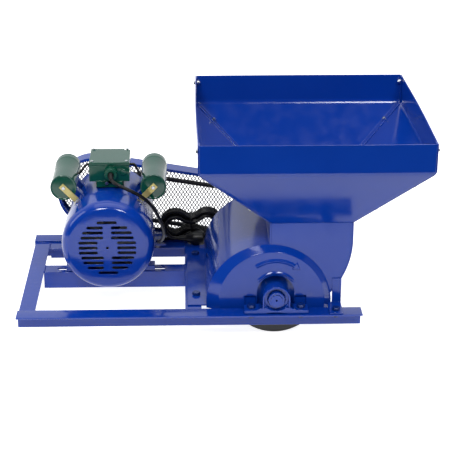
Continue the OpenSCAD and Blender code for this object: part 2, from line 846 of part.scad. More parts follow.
module drive_end_shield() {
    color(blue) on_frame() translate([motor_x, body_y1, motor_z]) rotate([-90, 0, 0])
        rotate_extrude() polygon([
            [ring_r + 5, 0], [body_r - 8 - fit, -8], [body_r - 8 - fit, 0], [body_r - 6, 0],
            [body_r - 6, 5], [70, 18], [44, 24], [40, shield_y1 - body_y1],
            [motor_shaft_d / 2 + 1.5, shield_y1 - body_y1],
            [motor_shaft_d / 2 + 1.5, shield_y1 - body_y1 - 5],
            [ring_r + 5, shield_y1 - body_y1 - 5]]);
}

module fan_end_shield() {
    color(blue) on_frame() translate([motor_x, body_y0, motor_z]) rotate([-90, 0, 0])
        rotate_extrude() polygon([
            [ring_r + 5, 2], [ring_r + 5, -18], [motor_shaft_d / 2 + 1.5, -18],
            [motor_shaft_d / 2 + 1.5, -22], [ring_r + 9, -22], [ring_r + 13, -8],
            [cowl_r - cowl_t - fit, -8], [cowl_r - cowl_t - fit, 0], [body_r - 8 - fit, 0],
            [body_r - 8 - fit, 6], [ring_r + 14, 2]]);
}

module stator_core() {
    slots = 24;
    color(steel) on_frame() slab(body_y0 + 40, body_y1 - 40) translate([motor_x, motor_z])
        difference() {
            circle(r = body_r - 8 - fit);
            circle(r = 50);
            for (k = [0:slots - 1]) rotate(360 * k / slots) translate([54, -2.5]) square([14, 5]);
        }
}

module stator_windings() {
    color(copper) on_frame() for (y = [body_y0 + 14, body_y1 - 40])
        ring(motor_x, y, y + 26, motor_z, 78, 54);
}

module motor_bearings() {
    color(steel) on_frame() for (y = [body_y0 - 17, shield_y1 - 22])
        ring(motor_x, y, y + 16, motor_z, ring_r + 5, motor_shaft_d / 2 + fit);
}

module motor_shaft() {
    color(steel) on_frame() rod(motor_x, motor_y0 + 25, motor_shaft_y1, motor_z, motor_shaft_d / 2);
}

module rotor_core() {
    color(steel) on_frame()
        ring(motor_x, body_y0 + 40, body_y1 - 40, motor_z, 49.3, motor_shaft_d / 2 + fit);
}

module cooling_fan() {
    blades = 7;
    fan_y = motor_y0 + 32;
    color(black) on_frame() {
        ring(motor_x, fan_y, fan_y + 22, motor_z, 24, motor_shaft_d / 2 + fit);
        ring(motor_x, fan_y + 19, fan_y + 22, motor_z, 76, 23);
        for (k = [0:blades - 1]) translate([motor_x, fan_y, motor_z])
            rotate([0, 360 * k / blades, 0]) translate([22, 0, -1.5]) cube([54, 20, 3]);
    }
}

// One straight slot of the cowl's grille
module grille_slot(cx, cz, half) {
    h = cowl_slot_h;
    translate([cx - half + h / 2, cz - h / 2]) square([2 * half - h, h]);
    for (s = [-1, 1]) translate([cx + s * (half - h / 2), cz]) circle(d = h, $fn = 24);
}

module fan_cowl() {
    arc_steps = 8;
    round_arc = [for (i = [0:arc_steps]) let (a = 90 * i / arc_steps)
        [cowl_face_r + (cowl_r - cowl_face_r) * sin(a), cowl_round * (1 - cos(a))]];
    inner_arc = [for (i = [arc_steps:-1:0]) let (a = 90 * i / arc_steps)
        [cowl_face_r + (cowl_r - cowl_t - cowl_face_r) * sin(a),
         cowl_t + (cowl_round - cowl_t) * (1 - cos(a))]];
    color(blue) on_frame() difference() {
        translate([motor_x, motor_y0, motor_z]) rotate([-90, 0, 0]) rotate_extrude()
            polygon(concat([[0, 0]], round_arc, [[cowl_r, cowl_l], [cowl_r - cowl_t, cowl_l]],
                inner_arc, [[0, cowl_t]]));
        slab(motor_y0 - 5, motor_y0 + 5) translate([motor_x, motor_z]) {
            circle(r = 3, $fn = 24);
            for (i = [-(slot_rows - 1) / 2:(slot_rows - 1) / 2]) {
                outer = grille_outer[abs(i)];
                inner = grille_inner[abs(i)];
                if (inner == 0) grille_slot(0, i * cowl_pitch, outer);
                else for (s = [-1, 1])
                    grille_slot(s * (outer + inner) / 2, i * cowl_pitch, (outer - inner) / 2);
            }
        }
        for (a = cowl_screw_a) translate([motor_x, body_y0 - 4, motor_z]) rotate([0, a, 0])
            cylinder(h = cowl_r + 5, d = 4.4, $fn = 24);
    }
}

// Screws of the cowl, the lid and the capacitor straps
module motor_screws() {
    color(brass) on_frame() {
        for (a = cowl_screw_a) translate([motor_x, body_y0 - 4, motor_z]) rotate([0, a, 0])
            translate([0, 0, cowl_r]) pan_screw(4, 8, cowl_t);
        for (sx = [-1, 1]) for (y = [box_y0 + 7, box_y0 + box_d - 7])
            translate([box_x + sx * (box_w / 2 - 7), y, box_z1]) pan_screw(4, 7, lid_h);
        translate([box_x - 6, box_y0 - 4, motor_z + body_r + 13]) rotate([90, 0, 0])
            pan_screw(4, 8, 3.5);
        for (s = [-1, 1]) translate([motor_x + s * cap_off_x, cap_y0 - 2, cap_z])
            rotate([90, 0, 0]) pan_screw(4, 8, 4);
    }
}

module motor_bolts() {
    color(zinc) on_frame() for (y = [front_hole_y, rear_hole_y]) for (s = [-1, 1])
        translate([motor_x + s * foot_pitch_x / 2, y, 9]) hex_bolt(10, 17, 7, 17, 8);
}

// ---------- terminal box ----------

module terminal_box() {
    wall = 3;
    color(green) on_frame() difference() {
        union() {
            translate([box_x - box_w / 2, box_y0, box_z0]) cube([box_w, box_d, box_h - lid_h]);
            translate([box_x - 32, box_y0 + 12, motor_z + body_r - 12])
                cube([64, box_d - 24, box_z0 - motor_z - body_r + 12]);
            translate([box_x - 30, box_y0 - 3, motor_z + body_r + 2]) cube([60, 15 + eps, 14]);
            translate([box_x + 32, box_y0 - 2, gland_z]) rotate([-90, 0, 0]) cylinder(h = 3, r = 7);
        }
        translate([box_x - box_w / 2 + wall, box_y0 + wall, box_z0 + wall])
            cube([box_w - 2 * wall, box_d - 2 * wall, box_h]);
        rod(gland_x, box_y0 - 5, box_y0 + 10, gland_z, 11);
        rod(motor_x, box_y0 - 20, box_y0 + box_d + 20, motor_z, body_r + fit);
        translate([box_x - 6, box_y0 - 5, motor_z + body_r + 13]) rotate([-90, 0, 0])
            cylinder(h = 6, d = m4_hole);
    }
}

module terminal_lid() {
    color(green) on_frame() difference() {
        translate([box_x - box_w / 2, box_y0, box_z1 - lid_h]) cube([box_w, box_d, lid_h]);
        translate([box_x - box_w / 2 + 4, box_y0 + 4, box_z1 - lid_h - 1])
            cube([box_w - 8, box_d - 8, 4]);
        translate([box_x + box_w / 2 - 14, box_y0 + box_d - 12, box_z1 - 3]) cube([20, 20, 10]);
        for (sx = [-1, 1]) for (y = [box_y0 + 7, box_y0 + box_d - 7])
            translate([box_x + sx * (box_w / 2 - 7), y, box_z1 - lid_h - 1])
                cylinder(h = lid_h + 2, d = m4_hole);
    }
}

module cable_gland() {
    color(green) on_frame() difference() {
        union() {
            rod(gland_x, box_y0 - 8, box_y0 + 9, gland_z, 11 - fit);
            translate([gland_x, box_y0 - 5, gland_z]) rotate([90, 0, 0])
                cylinder(h = 7, d = 31, $fn = 8);
            rod(gland_x, gland_y, box_y0 - 11, gland_z, 14);
            rod(gland_x, box_y0 - 5, box_y0, gland_z, 13);
        }
        rod(gland_x, gland_y - 1, box_y0 + 10, gland_z, cord_d / 2 + 1);
        rod(gland_x, gland_y - 1, gland_y + 3, gland_z, cord_d / 2 + 3);
    }
}

// ---------- capacitors ----------

module capacitor_cover(s) {
    cx = motor_x + s * cap_off_x;
    difference() {
        union() {
            rod(cx, cap_y0 + 4, cap_y0 + cap_l - 26, cap_z, cap_d / 2 - 0.6);
            rod(cx, cap_y0 + cap_l - 26, cap_y0 + cap_l, cap_z, cap_d / 2);
        }
        rod(cx, cap_y0 + 3, cap_y0 + cap_l - cap_t, cap_z, cap_d / 2 - cap_t - 0.6);
    }
}

module left_capacitor_cover() { color(green) on_frame() capacitor_cover(-1); }
module right_capacitor_cover() { color(green) on_frame() capacitor_cover(1); }

module capacitor_lids() {
    color(green) on_frame() for (s = [-1, 1]) difference() {
        union() {
            rod(motor_x + s * cap_off_x, cap_y0, cap_y0 + 4, cap_z, cap_d / 2);
            ring(motor_x + s * cap_off_x, cap_y0 + 3, cap_y0 + 10, cap_z,
                cap_d / 2 - cap_t - 0.7, cap_d / 2 - cap_t - 3);
        }
        rod(motor_x + s * cap_off_x, cap_y0 - 1, cap_y0 + 3, cap_z, 2.1);
    }
}

module capacitors() {
    color(steel) on_frame() for (s = [-1, 1])
        rod(motor_x + s * cap_off_x, cap_y0 + 16, cap_y0 + cap_l - cap_t, cap_z, cap_d / 2 - cap_t - 1.6);
}

// Straps from each lid's centre down to the motor body, and a saddle under each cover
module capacitor_straps() {
    strap_w = 14;
    strap_t = 2;
    reach = sqrt(cap_off_x * cap_off_x + cap_off_z * cap_off_z);
    a = atan2(cap_off_x, cap_off_z);
    color(brass) on_frame() for (s = [-1, 1]) translate([motor_x, 0, motor_z]) rotate([0, s * a, 0]) {
        difference() {
            translate([-strap_w / 2, cap_y0 - strap_t, cowl_r + 1])
                cube([strap_w, strap_t, reach - cowl_r + 7]);
            translate([0, cap_y0 - strap_t - 1, reach]) rotate([-90, 0, 0]) cylinder(h = 5, d = m4_hole);
        }
        difference() {
            translate([-strap_w / 2, cap_y0 - strap_t, body_r + 0.2]) cube([strap_w, 30, strap_t + 2]);
            rod(0, cap_y0 - 10, cap_y0 + 50, 0, body_r + 0.1);
            rod(0, motor_y0, motor_y0 + cowl_l + 0.5, 0, cowl_r + 1);
        }
        for (y = [cap_y0 + 36, cap_y0 + 100]) difference() {
            translate([-strap_w / 2, y, body_r - 4]) cube([strap_w, 12, reach - body_r]);
            rod(0, y - 1, y + 13, 0, body_r + 0.1);
            rod(0, y - 1, y + 13, reach, cap_d / 2);
        }
    }
}

// Wires from the capacitor covers into the sides of the terminal box
module capacitor_leads() {
    y = cap_y0 + 74;
    color(black) on_frame() for (s = [-1, 1]) {
        side_x = box_x + s * box_w / 2;
        cap_x = motor_x + s * cap_off_x - s * (cap_d / 2 - 1);
        tube(smooth([[cap_x, y, cap_z + 8], [cap_x - s * 6, y, cap_z + 12],
                     [(cap_x + side_x) / 2, y, cap_z + 24],
                     [side_x + s * 8, y, cap_z + 30], [side_x + s * 4, y, cap_z + 30],
                     [side_x, y, cap_z + 30]], 3), lead_r, 8);
    }
}

// ---------- hopper ----------

// Solid shape of the hopper, set in from its outside by e
module hopper_solid(e) {
    hull() {
        translate([hop_x0 + e, hop_y0 + e, hop_z1 - 0.1])
            cube([hopper_w - 2 * e, hopper_d - 2 * e, 0.1]);
        translate([neck_x0 + e, case_y0 + e, hop_z0 + (e > 0 ? -1 : 0)])
            cube([neck_w - 2 * e, case_y1 - case_y0 - 2 * e, 0.1]);
    }
    translate([hop_x0 + e, hop_y0 + e, hop_z1 - 0.1])
        cube([hopper_w - 2 * e, hopper_d - 2 * e, band_h + 0.1 + (e > 0 ? 1 : 0)]);
}

module hopper_shell() {
    difference() {
        hopper_solid(0);
        hopper_solid(hopper_t);
    }
}

// Plan wedge of the panel between corners i and i + 1
module panel_wedge(i) {
    j = (i + 1) % 4;
    middle = [hop_cx, hop_cy];
    translate([0, 0, hop_z0 - 5]) linear_extrude(slope_h + band_h + 20)
        polygon([middle, throat[i], mouth[i], 1.1 * mouth[i] - 0.1 * middle,
                 1.1 * mouth[j] - 0.1 * middle, mouth[j], throat[j]]);
}

// Plan strip beside corner i on the side panel's side, where a flange lies
module flange_strip(i) {
    sx = (i == 0 || i == 3) ? 1 : -1;
    sy = (i == 0 || i == 1) ? 1 : -1;
    y_in = flange_w * sy;
    translate([0, 0, hop_z0 + 12]) linear_extrude(slope_h + band_h - 14)
        polygon([mouth[i] + [sx * hopper_t, 0], throat[i] + [0, 0], throat[i] + [0, y_in],
                 mouth[i] + [0, y_in]]);
}

// Bolts of one corner: one through the band and two through the slope.
// Each child is drawn with its axis along the side panel's outward normal.
module corner_bolts(i) {
    sx = (i == 0 || i == 3) ? -1 : 1;
    sy = (i == 0 || i == 1) ? 1 : -1;
    run = abs(mouth[i][0] - throat[i][0]);
    tilt = atan2(slope_h, run);
    translate([mouth[i][0], mouth[i][1] + sy * bolt_in, hop_z1 + band_h * 0.78])
        rotate([0, sx * 90, 0]) children();
    for (f = [0.25, 0.72]) {
        p = mouth[i] * (1 - f) + throat[i] * f;
        translate([p[0], p[1] + sy * (bolt_in + 3), hop_z1 - slope_h * f])
            rotate([0, sx * (180 - tilt), 0]) translate([0, 0, 0.15]) children();
    }
}

module all_corner_holes() {
    for (i = [0:3]) corner_bolts(i) translate([0, 0, -20]) cylinder(h = 40, d = m6_hole, $fn = 24);
}

// Front or rear panel: wedge i of the shell with a flange inside each neighbour
module end_panel(i) {
    difference() {
        union() {
            intersection() {
                hopper_shell();
                panel_wedge(i);
            }
            intersection() {
                difference() {
                    hopper_solid(hopper_t);
                    hopper_solid(2 * hopper_t);
                }
                union() {
                    flange_strip(i);
                    flange_strip((i + 1) % 4);
                }
            }
        }
        all_corner_holes();
    }
}

module side_panel(i) {
    difference() {
        intersection() {
            hopper_shell();
            panel_wedge(i);
        }
        all_corner_holes();
    }
}

module hopper_front_panel() { color(blue) on_frame() end_panel(0); }
module hopper_right_panel() { color(blue) on_frame() side_panel(1); }
module hopper_rear_panel() { color(blue) on_frame() end_panel(2); }
module hopper_left_panel() { color(blue) on_frame() side_panel(3); }

// Rectangular collar under the hopper, which drops into the chamber's neck
module hopper_collar() {
    e = sheet_t + slide;
    length = case_y1 - case_y0 - 2 * plate_t - 2 * slide;
    color(blue) on_frame() difference() {
        translate([neck_x0 + e, case_y0 + plate_t + slide, neck_z - collar_h])
            cube([neck_w - 2 * e, length, collar_h]);
        translate([neck_x0 + e + 2, case_y0 + plate_t + slide + 2, neck_z - collar_h - 1])
            cube([neck_w - 2 * e - 4, length - 4, collar_h + 2]);
        neck_bolt_holes();
    }
}

module hopper_bolts() {
    color(zinc) on_frame() {
        for (i = [0:3]) corner_bolts(i) hex_bolt(6, 10, 4, 2 * hopper_t, 5);
        for (y = neck_bolt_y) {
            translate([neck_x0, y, neck_bolt_z]) rotate([0, -90, 0]) hex_bolt(6, 10, 4, sheet_t + 2.3, 5);
            translate([neck_x1, y, neck_bolt_z]) rotate([0, 90, 0]) hex_bolt(6, 10, 4, sheet_t + 2.3, 5);
        }
    }
}

// ---------- mains lead ----------

module power_cord() {
    color(black) on_frame() tube(smooth(cord_route, 3), cord_d / 2, 8);
}

// Outer shape of the folded and tied lead: two loops and a drawn-in waist
module cord_hank() {
    waist_r = (hank_off * hank_off + hank_waist * hank_waist - hank_r * hank_r)
        / (2 * (hank_r - hank_waist));
    join_x = hank_off * waist_r / (hank_r + waist_r);
    color(black) on_frame() slab(hank_c[1] - hank_t / 2, hank_c[1] + hank_t / 2)
        translate([hank_c[0], hank_c[2]]) {
            for (s = [-1, 1]) translate([s * hank_off, 0]) circle(r = hank_r);
            difference() {
                translate([-join_x, -hank_r]) square([2 * join_x, 2 * hank_r]);
                for (s = [-1, 1]) translate([0, s * (hank_waist + waist_r)]) circle(r = waist_r);
            }
        }
}

// Moulded plug lying on the mid cross member in front of the hank, its tail to the left
module power_plug() {
    x0 = mid_x - 15;
    y = hank_c[1] - hank_t / 2 - plug_d / 2 - slide;
    z = plug_d / 2 - rail_t + slide;
    plug_r = plug_d / 2;
    body_l = 62;
    pin_l = 19;
    pin_pitch = 19;
    color(black) on_frame() {
        translate([x0, y, z]) rotate([0, 90, 0]) rotate_extrude()
            polygon([[0, 0], [5, 0], [8, 18], [plug_r - 6, 24], [plug_r, 36],
                     [plug_r, body_l - 3], [plug_r - 3, body_l], [0, body_l]]);
        for (s = [-1, 1]) translate([x0 + body_l - 1, y, z + s * pin_pitch / 2]) rotate([0, 90, 0])
            cylinder(h = pin_l + 1, d = 4.8, $fn = 24);
    }
}

front_rail();
rear_rail();
left_cross_member();
mid_cross_member();
front_motor_rail();
rear_motor_rail();
casing_front_plate();
casing_rear_plate();
drum_cover();
casing_right_wall();
lower_screen();
half_round_cover();
casing_feet();
casing_bolts();
front_bearing_housing();
rear_bearing_housing();
bearing_outer_rings();
bearing_inner_rings();
bearing_bolts();
main_shaft();
rotor_hub();
rotor_discs();
beater_bars();
mill_pulley();
drive_belt();
guard_rim();
guard_mesh();
guard_brackets();
motor_housing();
motor_feet();
drive_end_shield();
fan_end_shield();
stator_core();
stator_windings();
motor_bearings();
motor_shaft();
rotor_core();
cooling_fan();
motor_pulley();
fan_cowl();
motor_screws();
motor_bolts();
terminal_box();
terminal_lid();
cable_gland();
left_capacitor_cover();
right_capacitor_cover();
capacitor_lids();
capacitors();
capacitor_straps();
capacitor_leads();
hopper_front_panel();
hopper_rear_panel();
hopper_left_panel();
hopper_right_panel();
hopper_collar();
hopper_bolts();
power_cord();
cord_hank();
power_plug();
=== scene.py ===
import logging
import math
from dataclasses import dataclass, replace
from enum import Enum

import bmesh
import bpy
import numpy as np
from mathutils import Matrix, Vector


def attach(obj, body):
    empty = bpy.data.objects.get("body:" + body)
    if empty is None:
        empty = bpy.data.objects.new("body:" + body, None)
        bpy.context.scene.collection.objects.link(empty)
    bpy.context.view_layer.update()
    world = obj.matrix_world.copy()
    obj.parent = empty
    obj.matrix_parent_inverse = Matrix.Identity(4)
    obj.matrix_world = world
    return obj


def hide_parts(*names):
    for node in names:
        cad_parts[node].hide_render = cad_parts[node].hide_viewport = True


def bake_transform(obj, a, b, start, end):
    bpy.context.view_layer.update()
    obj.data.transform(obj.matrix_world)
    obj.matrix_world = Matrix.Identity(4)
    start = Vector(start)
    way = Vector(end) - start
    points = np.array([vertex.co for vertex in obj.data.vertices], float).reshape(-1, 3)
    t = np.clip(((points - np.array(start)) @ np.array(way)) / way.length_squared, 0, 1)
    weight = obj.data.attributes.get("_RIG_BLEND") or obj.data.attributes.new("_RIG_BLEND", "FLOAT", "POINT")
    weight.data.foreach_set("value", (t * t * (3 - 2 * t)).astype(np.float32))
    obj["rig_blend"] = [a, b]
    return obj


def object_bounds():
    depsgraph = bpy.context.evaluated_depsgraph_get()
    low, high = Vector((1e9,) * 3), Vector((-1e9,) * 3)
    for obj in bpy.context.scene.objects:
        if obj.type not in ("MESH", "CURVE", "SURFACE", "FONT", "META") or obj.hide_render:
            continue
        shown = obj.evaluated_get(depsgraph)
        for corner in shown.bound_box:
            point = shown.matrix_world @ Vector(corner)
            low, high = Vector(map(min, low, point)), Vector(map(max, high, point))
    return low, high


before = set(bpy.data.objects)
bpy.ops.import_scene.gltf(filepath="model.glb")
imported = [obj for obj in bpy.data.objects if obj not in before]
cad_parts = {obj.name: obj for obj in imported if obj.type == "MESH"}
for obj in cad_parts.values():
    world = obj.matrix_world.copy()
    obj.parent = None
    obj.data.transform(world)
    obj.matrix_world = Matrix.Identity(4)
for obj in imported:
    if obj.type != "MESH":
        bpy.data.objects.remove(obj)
cad_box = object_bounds()

LOG = logging.getLogger("crusher")
SHIFT = np.array((-375.0, -236.0, 4.0))  # drawing millimetres to the frame's origin
MM = 0.001
PI = math.pi
MERGE = 4e-6  # packed vertices nearer than this, in metres, are one
TOUCH = 2e-6  # the same for the pieces built here
FLAT = math.radians(0.5)  # packed faces within this angle are one flat face


# ---------- names and small helpers ----------


class Body(Enum):
    """The moving groups of the machine."""

    FRAME = "frame"
    MOTOR = "motor"
    MOTOR_ROTOR = "motor_rotor"
    MILL_ROTOR = "mill_rotor"


class Slot(Enum):
    """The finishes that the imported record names."""

    BLUE = "blue_enamel"
    CAST = "cast_blue"
    DARK = "dark_enamel"
    BOLTS = "dark_bolts"
    STEEL = "bright_steel"
    CORE = "core_steel"
    COPPER = "copper_wire"
    BELT = "belt_rubber"
    FAN = "fan_plastic"
    ZINC = "zinc"
    YELLOW = "yellow_zinc"
    GREEN = "green_paint"
    GLAND = "gland_plastic"
    CAN = "capacitor_can"
    WIRE = "wire_plastic"
    CORD = "cord_rubber"


def metres(points: np.ndarray) -> np.ndarray:
    """Machine drawing millimetres to the frame's metres: add the shift, then divide by 1000."""
    return (np.asarray(points, float) + SHIFT) * MM


def smoothstep(t: np.ndarray) -> np.ndarray:
    """Eases 0 to 1: three t squared minus two t cubed, with t held between 0 and 1."""
    t = np.clip(t, 0.0, 1.0)
    return t * t * (3.0 - 2.0 * t)


def ridge(across: np.ndarray) -> np.ndarray:
    """Height of a rounded ridge, 1 on its line and 0 from a distance of 1 outwards."""
    return 0.5 + 0.5 * np.cos(PI * np.clip(np.abs(across), 0, 1))


def arc(cx: float, cy: float, r: float, a0: float, a1: float, count: int) -> np.ndarray:
    """Points on a circle: centre plus radius times the cosine and sine of evenly spaced angles.

    Args:
        cx, cy: centre.
        r: radius.
        a0, a1: first and last angle in degrees.
        count: number of points.

    Returns:
        Array of count rows of two numbers.
    """
    a = np.radians(np.linspace(a0, a1, count))
    return np.stack((cx + r * np.cos(a), cy + r * np.sin(a)), axis=1)


def grid_faces(rows: int, cols: int, wrap: bool = False, close: bool = False) -> np.ndarray:
    """Quads of a grid: each joins a point, the next in its row, and the two in the next row.

    Args:
        rows, cols: size of the grid, with cols counted along a row.
        wrap: whether the last column joins the first.
        close: whether the last row joins the first.

    Returns:
        Array of quads as four indices.
    """
    r = np.arange(rows if close else rows - 1)[:, None]
    c = np.arange(cols if wrap else cols - 1)[None, :]
    n, m = (c + 1) % cols, (r + 1) % rows
    quads = np.stack((r * cols + c, r * cols + n, m * cols + n, m * cols + c), axis=-1)
    return quads.reshape(-1, 4)


def joined(parts: list[tuple]) -> tuple[np.ndarray, list]:
    """Several meshes as one: vertices stacked, and face indices raised by the vertices before them.

    Args:
        parts: a pair of vertices and faces for each mesh.

    Returns:
        Vertices and faces.
    """
    points, faces, shift = [], [], 0
    for some, polygons in parts:
        points.append(some)
        faces += [[int(i) + shift for i in f] for f in polygons]
        shift += len(some)
    return np.vstack(points), faces


def distances(points: np.ndarray) -> np.ndarray:
    """Distance of each point along its line: the summed lengths of the steps before it."""
    return np.concatenate(([0.0], np.cumsum(np.linalg.norm(np.diff(points, axis=0), axis=1))))


def catmull(points: np.ndarray, steps: int) -> np.ndarray:
    """Smooth curve through points: the uniform Catmull-Rom cubic, evaluated steps times a span."""
    p = np.asarray(points, float)
    ext = np.vstack((2 * p[0] - p[1], p, 2 * p[-1] - p[-2]))
    t = (np.arange(steps) / steps)[None, :, None]
    a, b, c, d = (ext[i : len(ext) - 3 + i][:, None, :] for i in range(4))
    out = 0.5 * (2 * b + (c - a) * t + (2 * a - 5 * b + 4 * c - d) * t**2 + (3 * b - a - 3 * c + d) * t**3)
    return np.vstack((out.reshape(-1, p.shape[1]), p[-1:]))


def resampled(points: np.ndarray, step: float) -> np.ndarray:
    """The same line with evenly spaced points: interpolated along its summed length."""
    s = distances(points)
    t = np.linspace(0.0, s[-1], max(2, int(round(s[-1] / step)) + 1))
    return np.stack([np.interp(t, s, points[:, k]) for k in range(points.shape[1])], axis=1)


@dataclass
class Piece:
    """A finished mesh on its way into the scene; a piece without a body is blended between two."""

    name: str
    body: Body | None
    slot: Slot
    paint: "Paintbox"
    replaces: tuple[str, ...] = ()
    sharp_angle: float = 32.0
    turned: bool = False
    material: bpy.types.Material | None = None

    def build(self, points: np.ndarray, faces: list, attribute: np.ndarray | None = None) -> bpy.types.Object:
        """Makes the object from points and faces, dresses it, and turns its faces outwards if asked.

        Args:
            points: vertices in drawing millimetres.
            faces: vertex indices of each face, facing outwards unless the piece is to be turned.
            attribute: one number a vertex, kept as the attribute "along".

        Returns:
            The new object.
        """
        mesh = bpy.data.meshes.new(self.name)
        mesh.from_pydata(metres(points).tolist(), [], [list(map(int, f)) for f in faces])
        if attribute is not None:
            layer = mesh.attributes.new("along", "FLOAT", "POINT")
            layer.data.foreach_set("value", np.asarray(attribute, np.float32))
        mesh.validate()
        obj = self.dress(mesh)
        if self.turned:
            outward(mesh)
        return obj

    def dress(self, mesh: bpy.types.Mesh) -> bpy.types.Object:
        """Puts a finished mesh into the scene under this piece's name, body, slot and material.

        Args:
            mesh: the mesh, in the frame's metres.

        Returns:
            The new object.
        """
        mesh.shade_smooth()
        mesh.set_sharp_from_angle(angle=math.radians(self.sharp_angle))
        obj = bpy.data.objects.new(self.name, mesh)
        bpy.context.scene.collection.objects.link(obj)
        mesh.materials.clear()
        mesh.materials.append(self.material or self.paint[self.slot])
        if self.replaces:
            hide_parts(*self.replaces)
        if self.body is not None:
            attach(obj, self.body.value)
        LOG.info("%s: %d faces", self.name, len(mesh.polygons))
        return obj


def softened(
    node: str, body: Body, slot: Slot, paint: "Paintbox", width: float,
    segments: int = 2, angle: float = 32.0, material: bpy.types.Material | None = None,
) -> bpy.types.Object:
    """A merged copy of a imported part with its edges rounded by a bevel, standing for that part.

    Args:
        node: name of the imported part.
        body, slot, paint: what the piece rides on and is finished with.
        width: bevel width in millimetres.
        segments: steps across the bevel.
        angle: least angle between faces that is rounded, in degrees.
        material: a material other than the slot's.

    Returns:
        The new object.
    """
    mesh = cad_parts[node].data.copy()
    mesh.name = f"{node}_finished"
    bm = bmesh.new()
    bm.from_mesh(mesh)
    bmesh.ops.remove_doubles(bm, verts=bm.verts, dist=MERGE)
    bmesh.ops.dissolve_limit(bm, angle_limit=FLAT, verts=bm.verts, edges=bm.edges)
    bm.to_mesh(mesh)
    bm.free()
    for layer in list(mesh.attributes):
        if layer.name in ("custom_normal", "sharp_face", "sharp_edge"):
            mesh.attributes.remove(layer)
    obj = Piece(mesh.name, body, slot, paint, (node,), angle, material=material).dress(mesh)
    bevel = obj.modifiers.new("edges", "BEVEL")
    bevel.width = width * MM
    bevel.segments = segments
    bevel.limit_method = "ANGLE"
    bevel.angle_limit = math.radians(angle)
    bevel.use_clamp_overlap = False
    bevel.harden_normals = True
    return obj


def two_tone(
    obj: bpy.types.Object, material: bpy.types.Material, front_of: float | None = None, behind: float = 0.0
) -> None:
    """Gives a second material to the faces whose middle lies in front of one depth or behind another.

    Args:
        obj: the finished piece.
        material: the second material.
        front_of: faces with a smaller Y than this, in drawing millimetres, take it.
        behind: without front_of, faces with a larger Y than this take it.
    """
    obj.data.materials.append(material)
    flat = np.zeros(len(obj.data.polygons) * 3)
    obj.data.polygons.foreach_get("center", flat)
    y = flat.reshape(-1, 3)[:, 1] / MM - SHIFT[1]
    chosen = y > behind if front_of is None else y < front_of
    obj.data.polygons.foreach_set("material_index", chosen.astype(np.int32))


def extrusion(profile: np.ndarray, start: float, end: float, axis: str, steps: int = 1) -> tuple[np.ndarray, list]:
    """A closed profile carried straight along an axis, with both ends closed.

    Args:
        profile: points in the plane across the axis, anticlockwise: (y, z) for x, (x, z) for y.
        start, end: first and last place along the axis.
        axis: "x" or "y".
        steps: number of lengths along the axis.

    Returns:
        Vertices and faces.
    """
    n = len(profile)
    along = np.linspace(start, end, steps + 1)
    a, p = np.broadcast_arrays(along[:, None, None], profile[None, :, :1])
    q = np.broadcast_to(profile[None, :, 1:], p.shape)
    pts = np.concatenate((a, p, q) if axis == "x" else (p, a, q), axis=2).reshape(-1, 3)
    faces = grid_faces(steps + 1, n, wrap=True)
    caps = [list(range(n - 1, -1, -1)), list(range(steps * n, (steps + 1) * n))]
    if axis == "y":
        faces, caps = faces[:, ::-1], [c[::-1] for c in caps]
    return pts, faces.tolist() + caps


def outward(mesh: bpy.types.Mesh) -> None:
    """Merges doubles and turns the faces of a closed mesh outwards."""
    bm = bmesh.new()
    bm.from_mesh(mesh)
    bmesh.ops.remove_doubles(bm, verts=bm.verts, dist=TOUCH)
    bmesh.ops.recalc_face_normals(bm, faces=bm.faces)
    bm.to_mesh(mesh)
    bm.free()


def lathe(profile: np.ndarray, cx: float, cz: float, sides: int = 96) -> tuple[np.ndarray, np.ndarray]:
    """A profile turned round a line along Y: x and z are the centre plus radius times cosine and sine.

    Args:
        profile: rows of y and radius, from front to back.
        cx, cz: the line's place.
        sides: steps round.

    Returns:
        Vertices and quads.
    """
    a = np.arange(sides) * 2 * PI / sides
    y, r = profile[:, 0][:, None], profile[:, 1][:, None]
    pts = np.stack((cx + r * np.cos(a), y + 0 * a, cz + r * np.sin(a)), axis=-1).reshape(-1, 3)
    return pts, grid_faces(len(profile), sides, wrap=True)


def tube(path: np.ndarray, radius: np.ndarray, sides: int = 12) -> tuple[np.ndarray, list, np.ndarray]:
    """A round section carried along a path: rotation-minimising sides, closed by flat ends.

    Args:
        path: points of the centreline.
        radius: one radius a point, or a single one.
        sides: points round the section.

    Returns:
        Vertices, faces, and each vertex's distance along the path.
    """
    p = np.asarray(path, float)
    r = np.broadcast_to(np.asarray(radius, float), (len(p),))
    tan = np.gradient(p, axis=0)
    tan /= np.linalg.norm(tan, axis=1, keepdims=True)
    side = np.zeros_like(p)
    first = np.cross(tan[0], (0.0, 0.0, 1.0))
    if np.linalg.norm(first) < 0.1:
        first = np.cross(tan[0], (1.0, 0.0, 0.0))
    side[0] = first / np.linalg.norm(first)
    for i in range(1, len(p)):
        s = side[i - 1] - tan[i] * float(side[i - 1] @ tan[i])
        side[i] = s / np.linalg.norm(s)
    up = np.cross(tan, side)
    a = np.arange(sides) * 2 * PI / sides
    ring = np.cos(a)[None, :, None] * side[:, None, :] + np.sin(a)[None, :, None] * up[:, None, :]
    pts = (p[:, None, :] + r[:, None, None] * ring).reshape(-1, 3)
    faces = grid_faces(len(p), sides, wrap=True)[:, ::-1].tolist()
    last = (len(p) - 1) * sides
    faces += [list(range(sides)), list(range(last + sides - 1, last - 1, -1))]
    return pts, faces, np.repeat(distances(p), sides)


# ---------- finishes ----------


def wire(tree: bpy.types.NodeTree, value: object, socket: bpy.types.NodeSocket) -> None:
    """Links a socket to an input, or sets the input to a plain value."""
    if isinstance(value, bpy.types.NodeSocket):
        tree.links.new(value, socket)
    else:
        socket.default_value = value


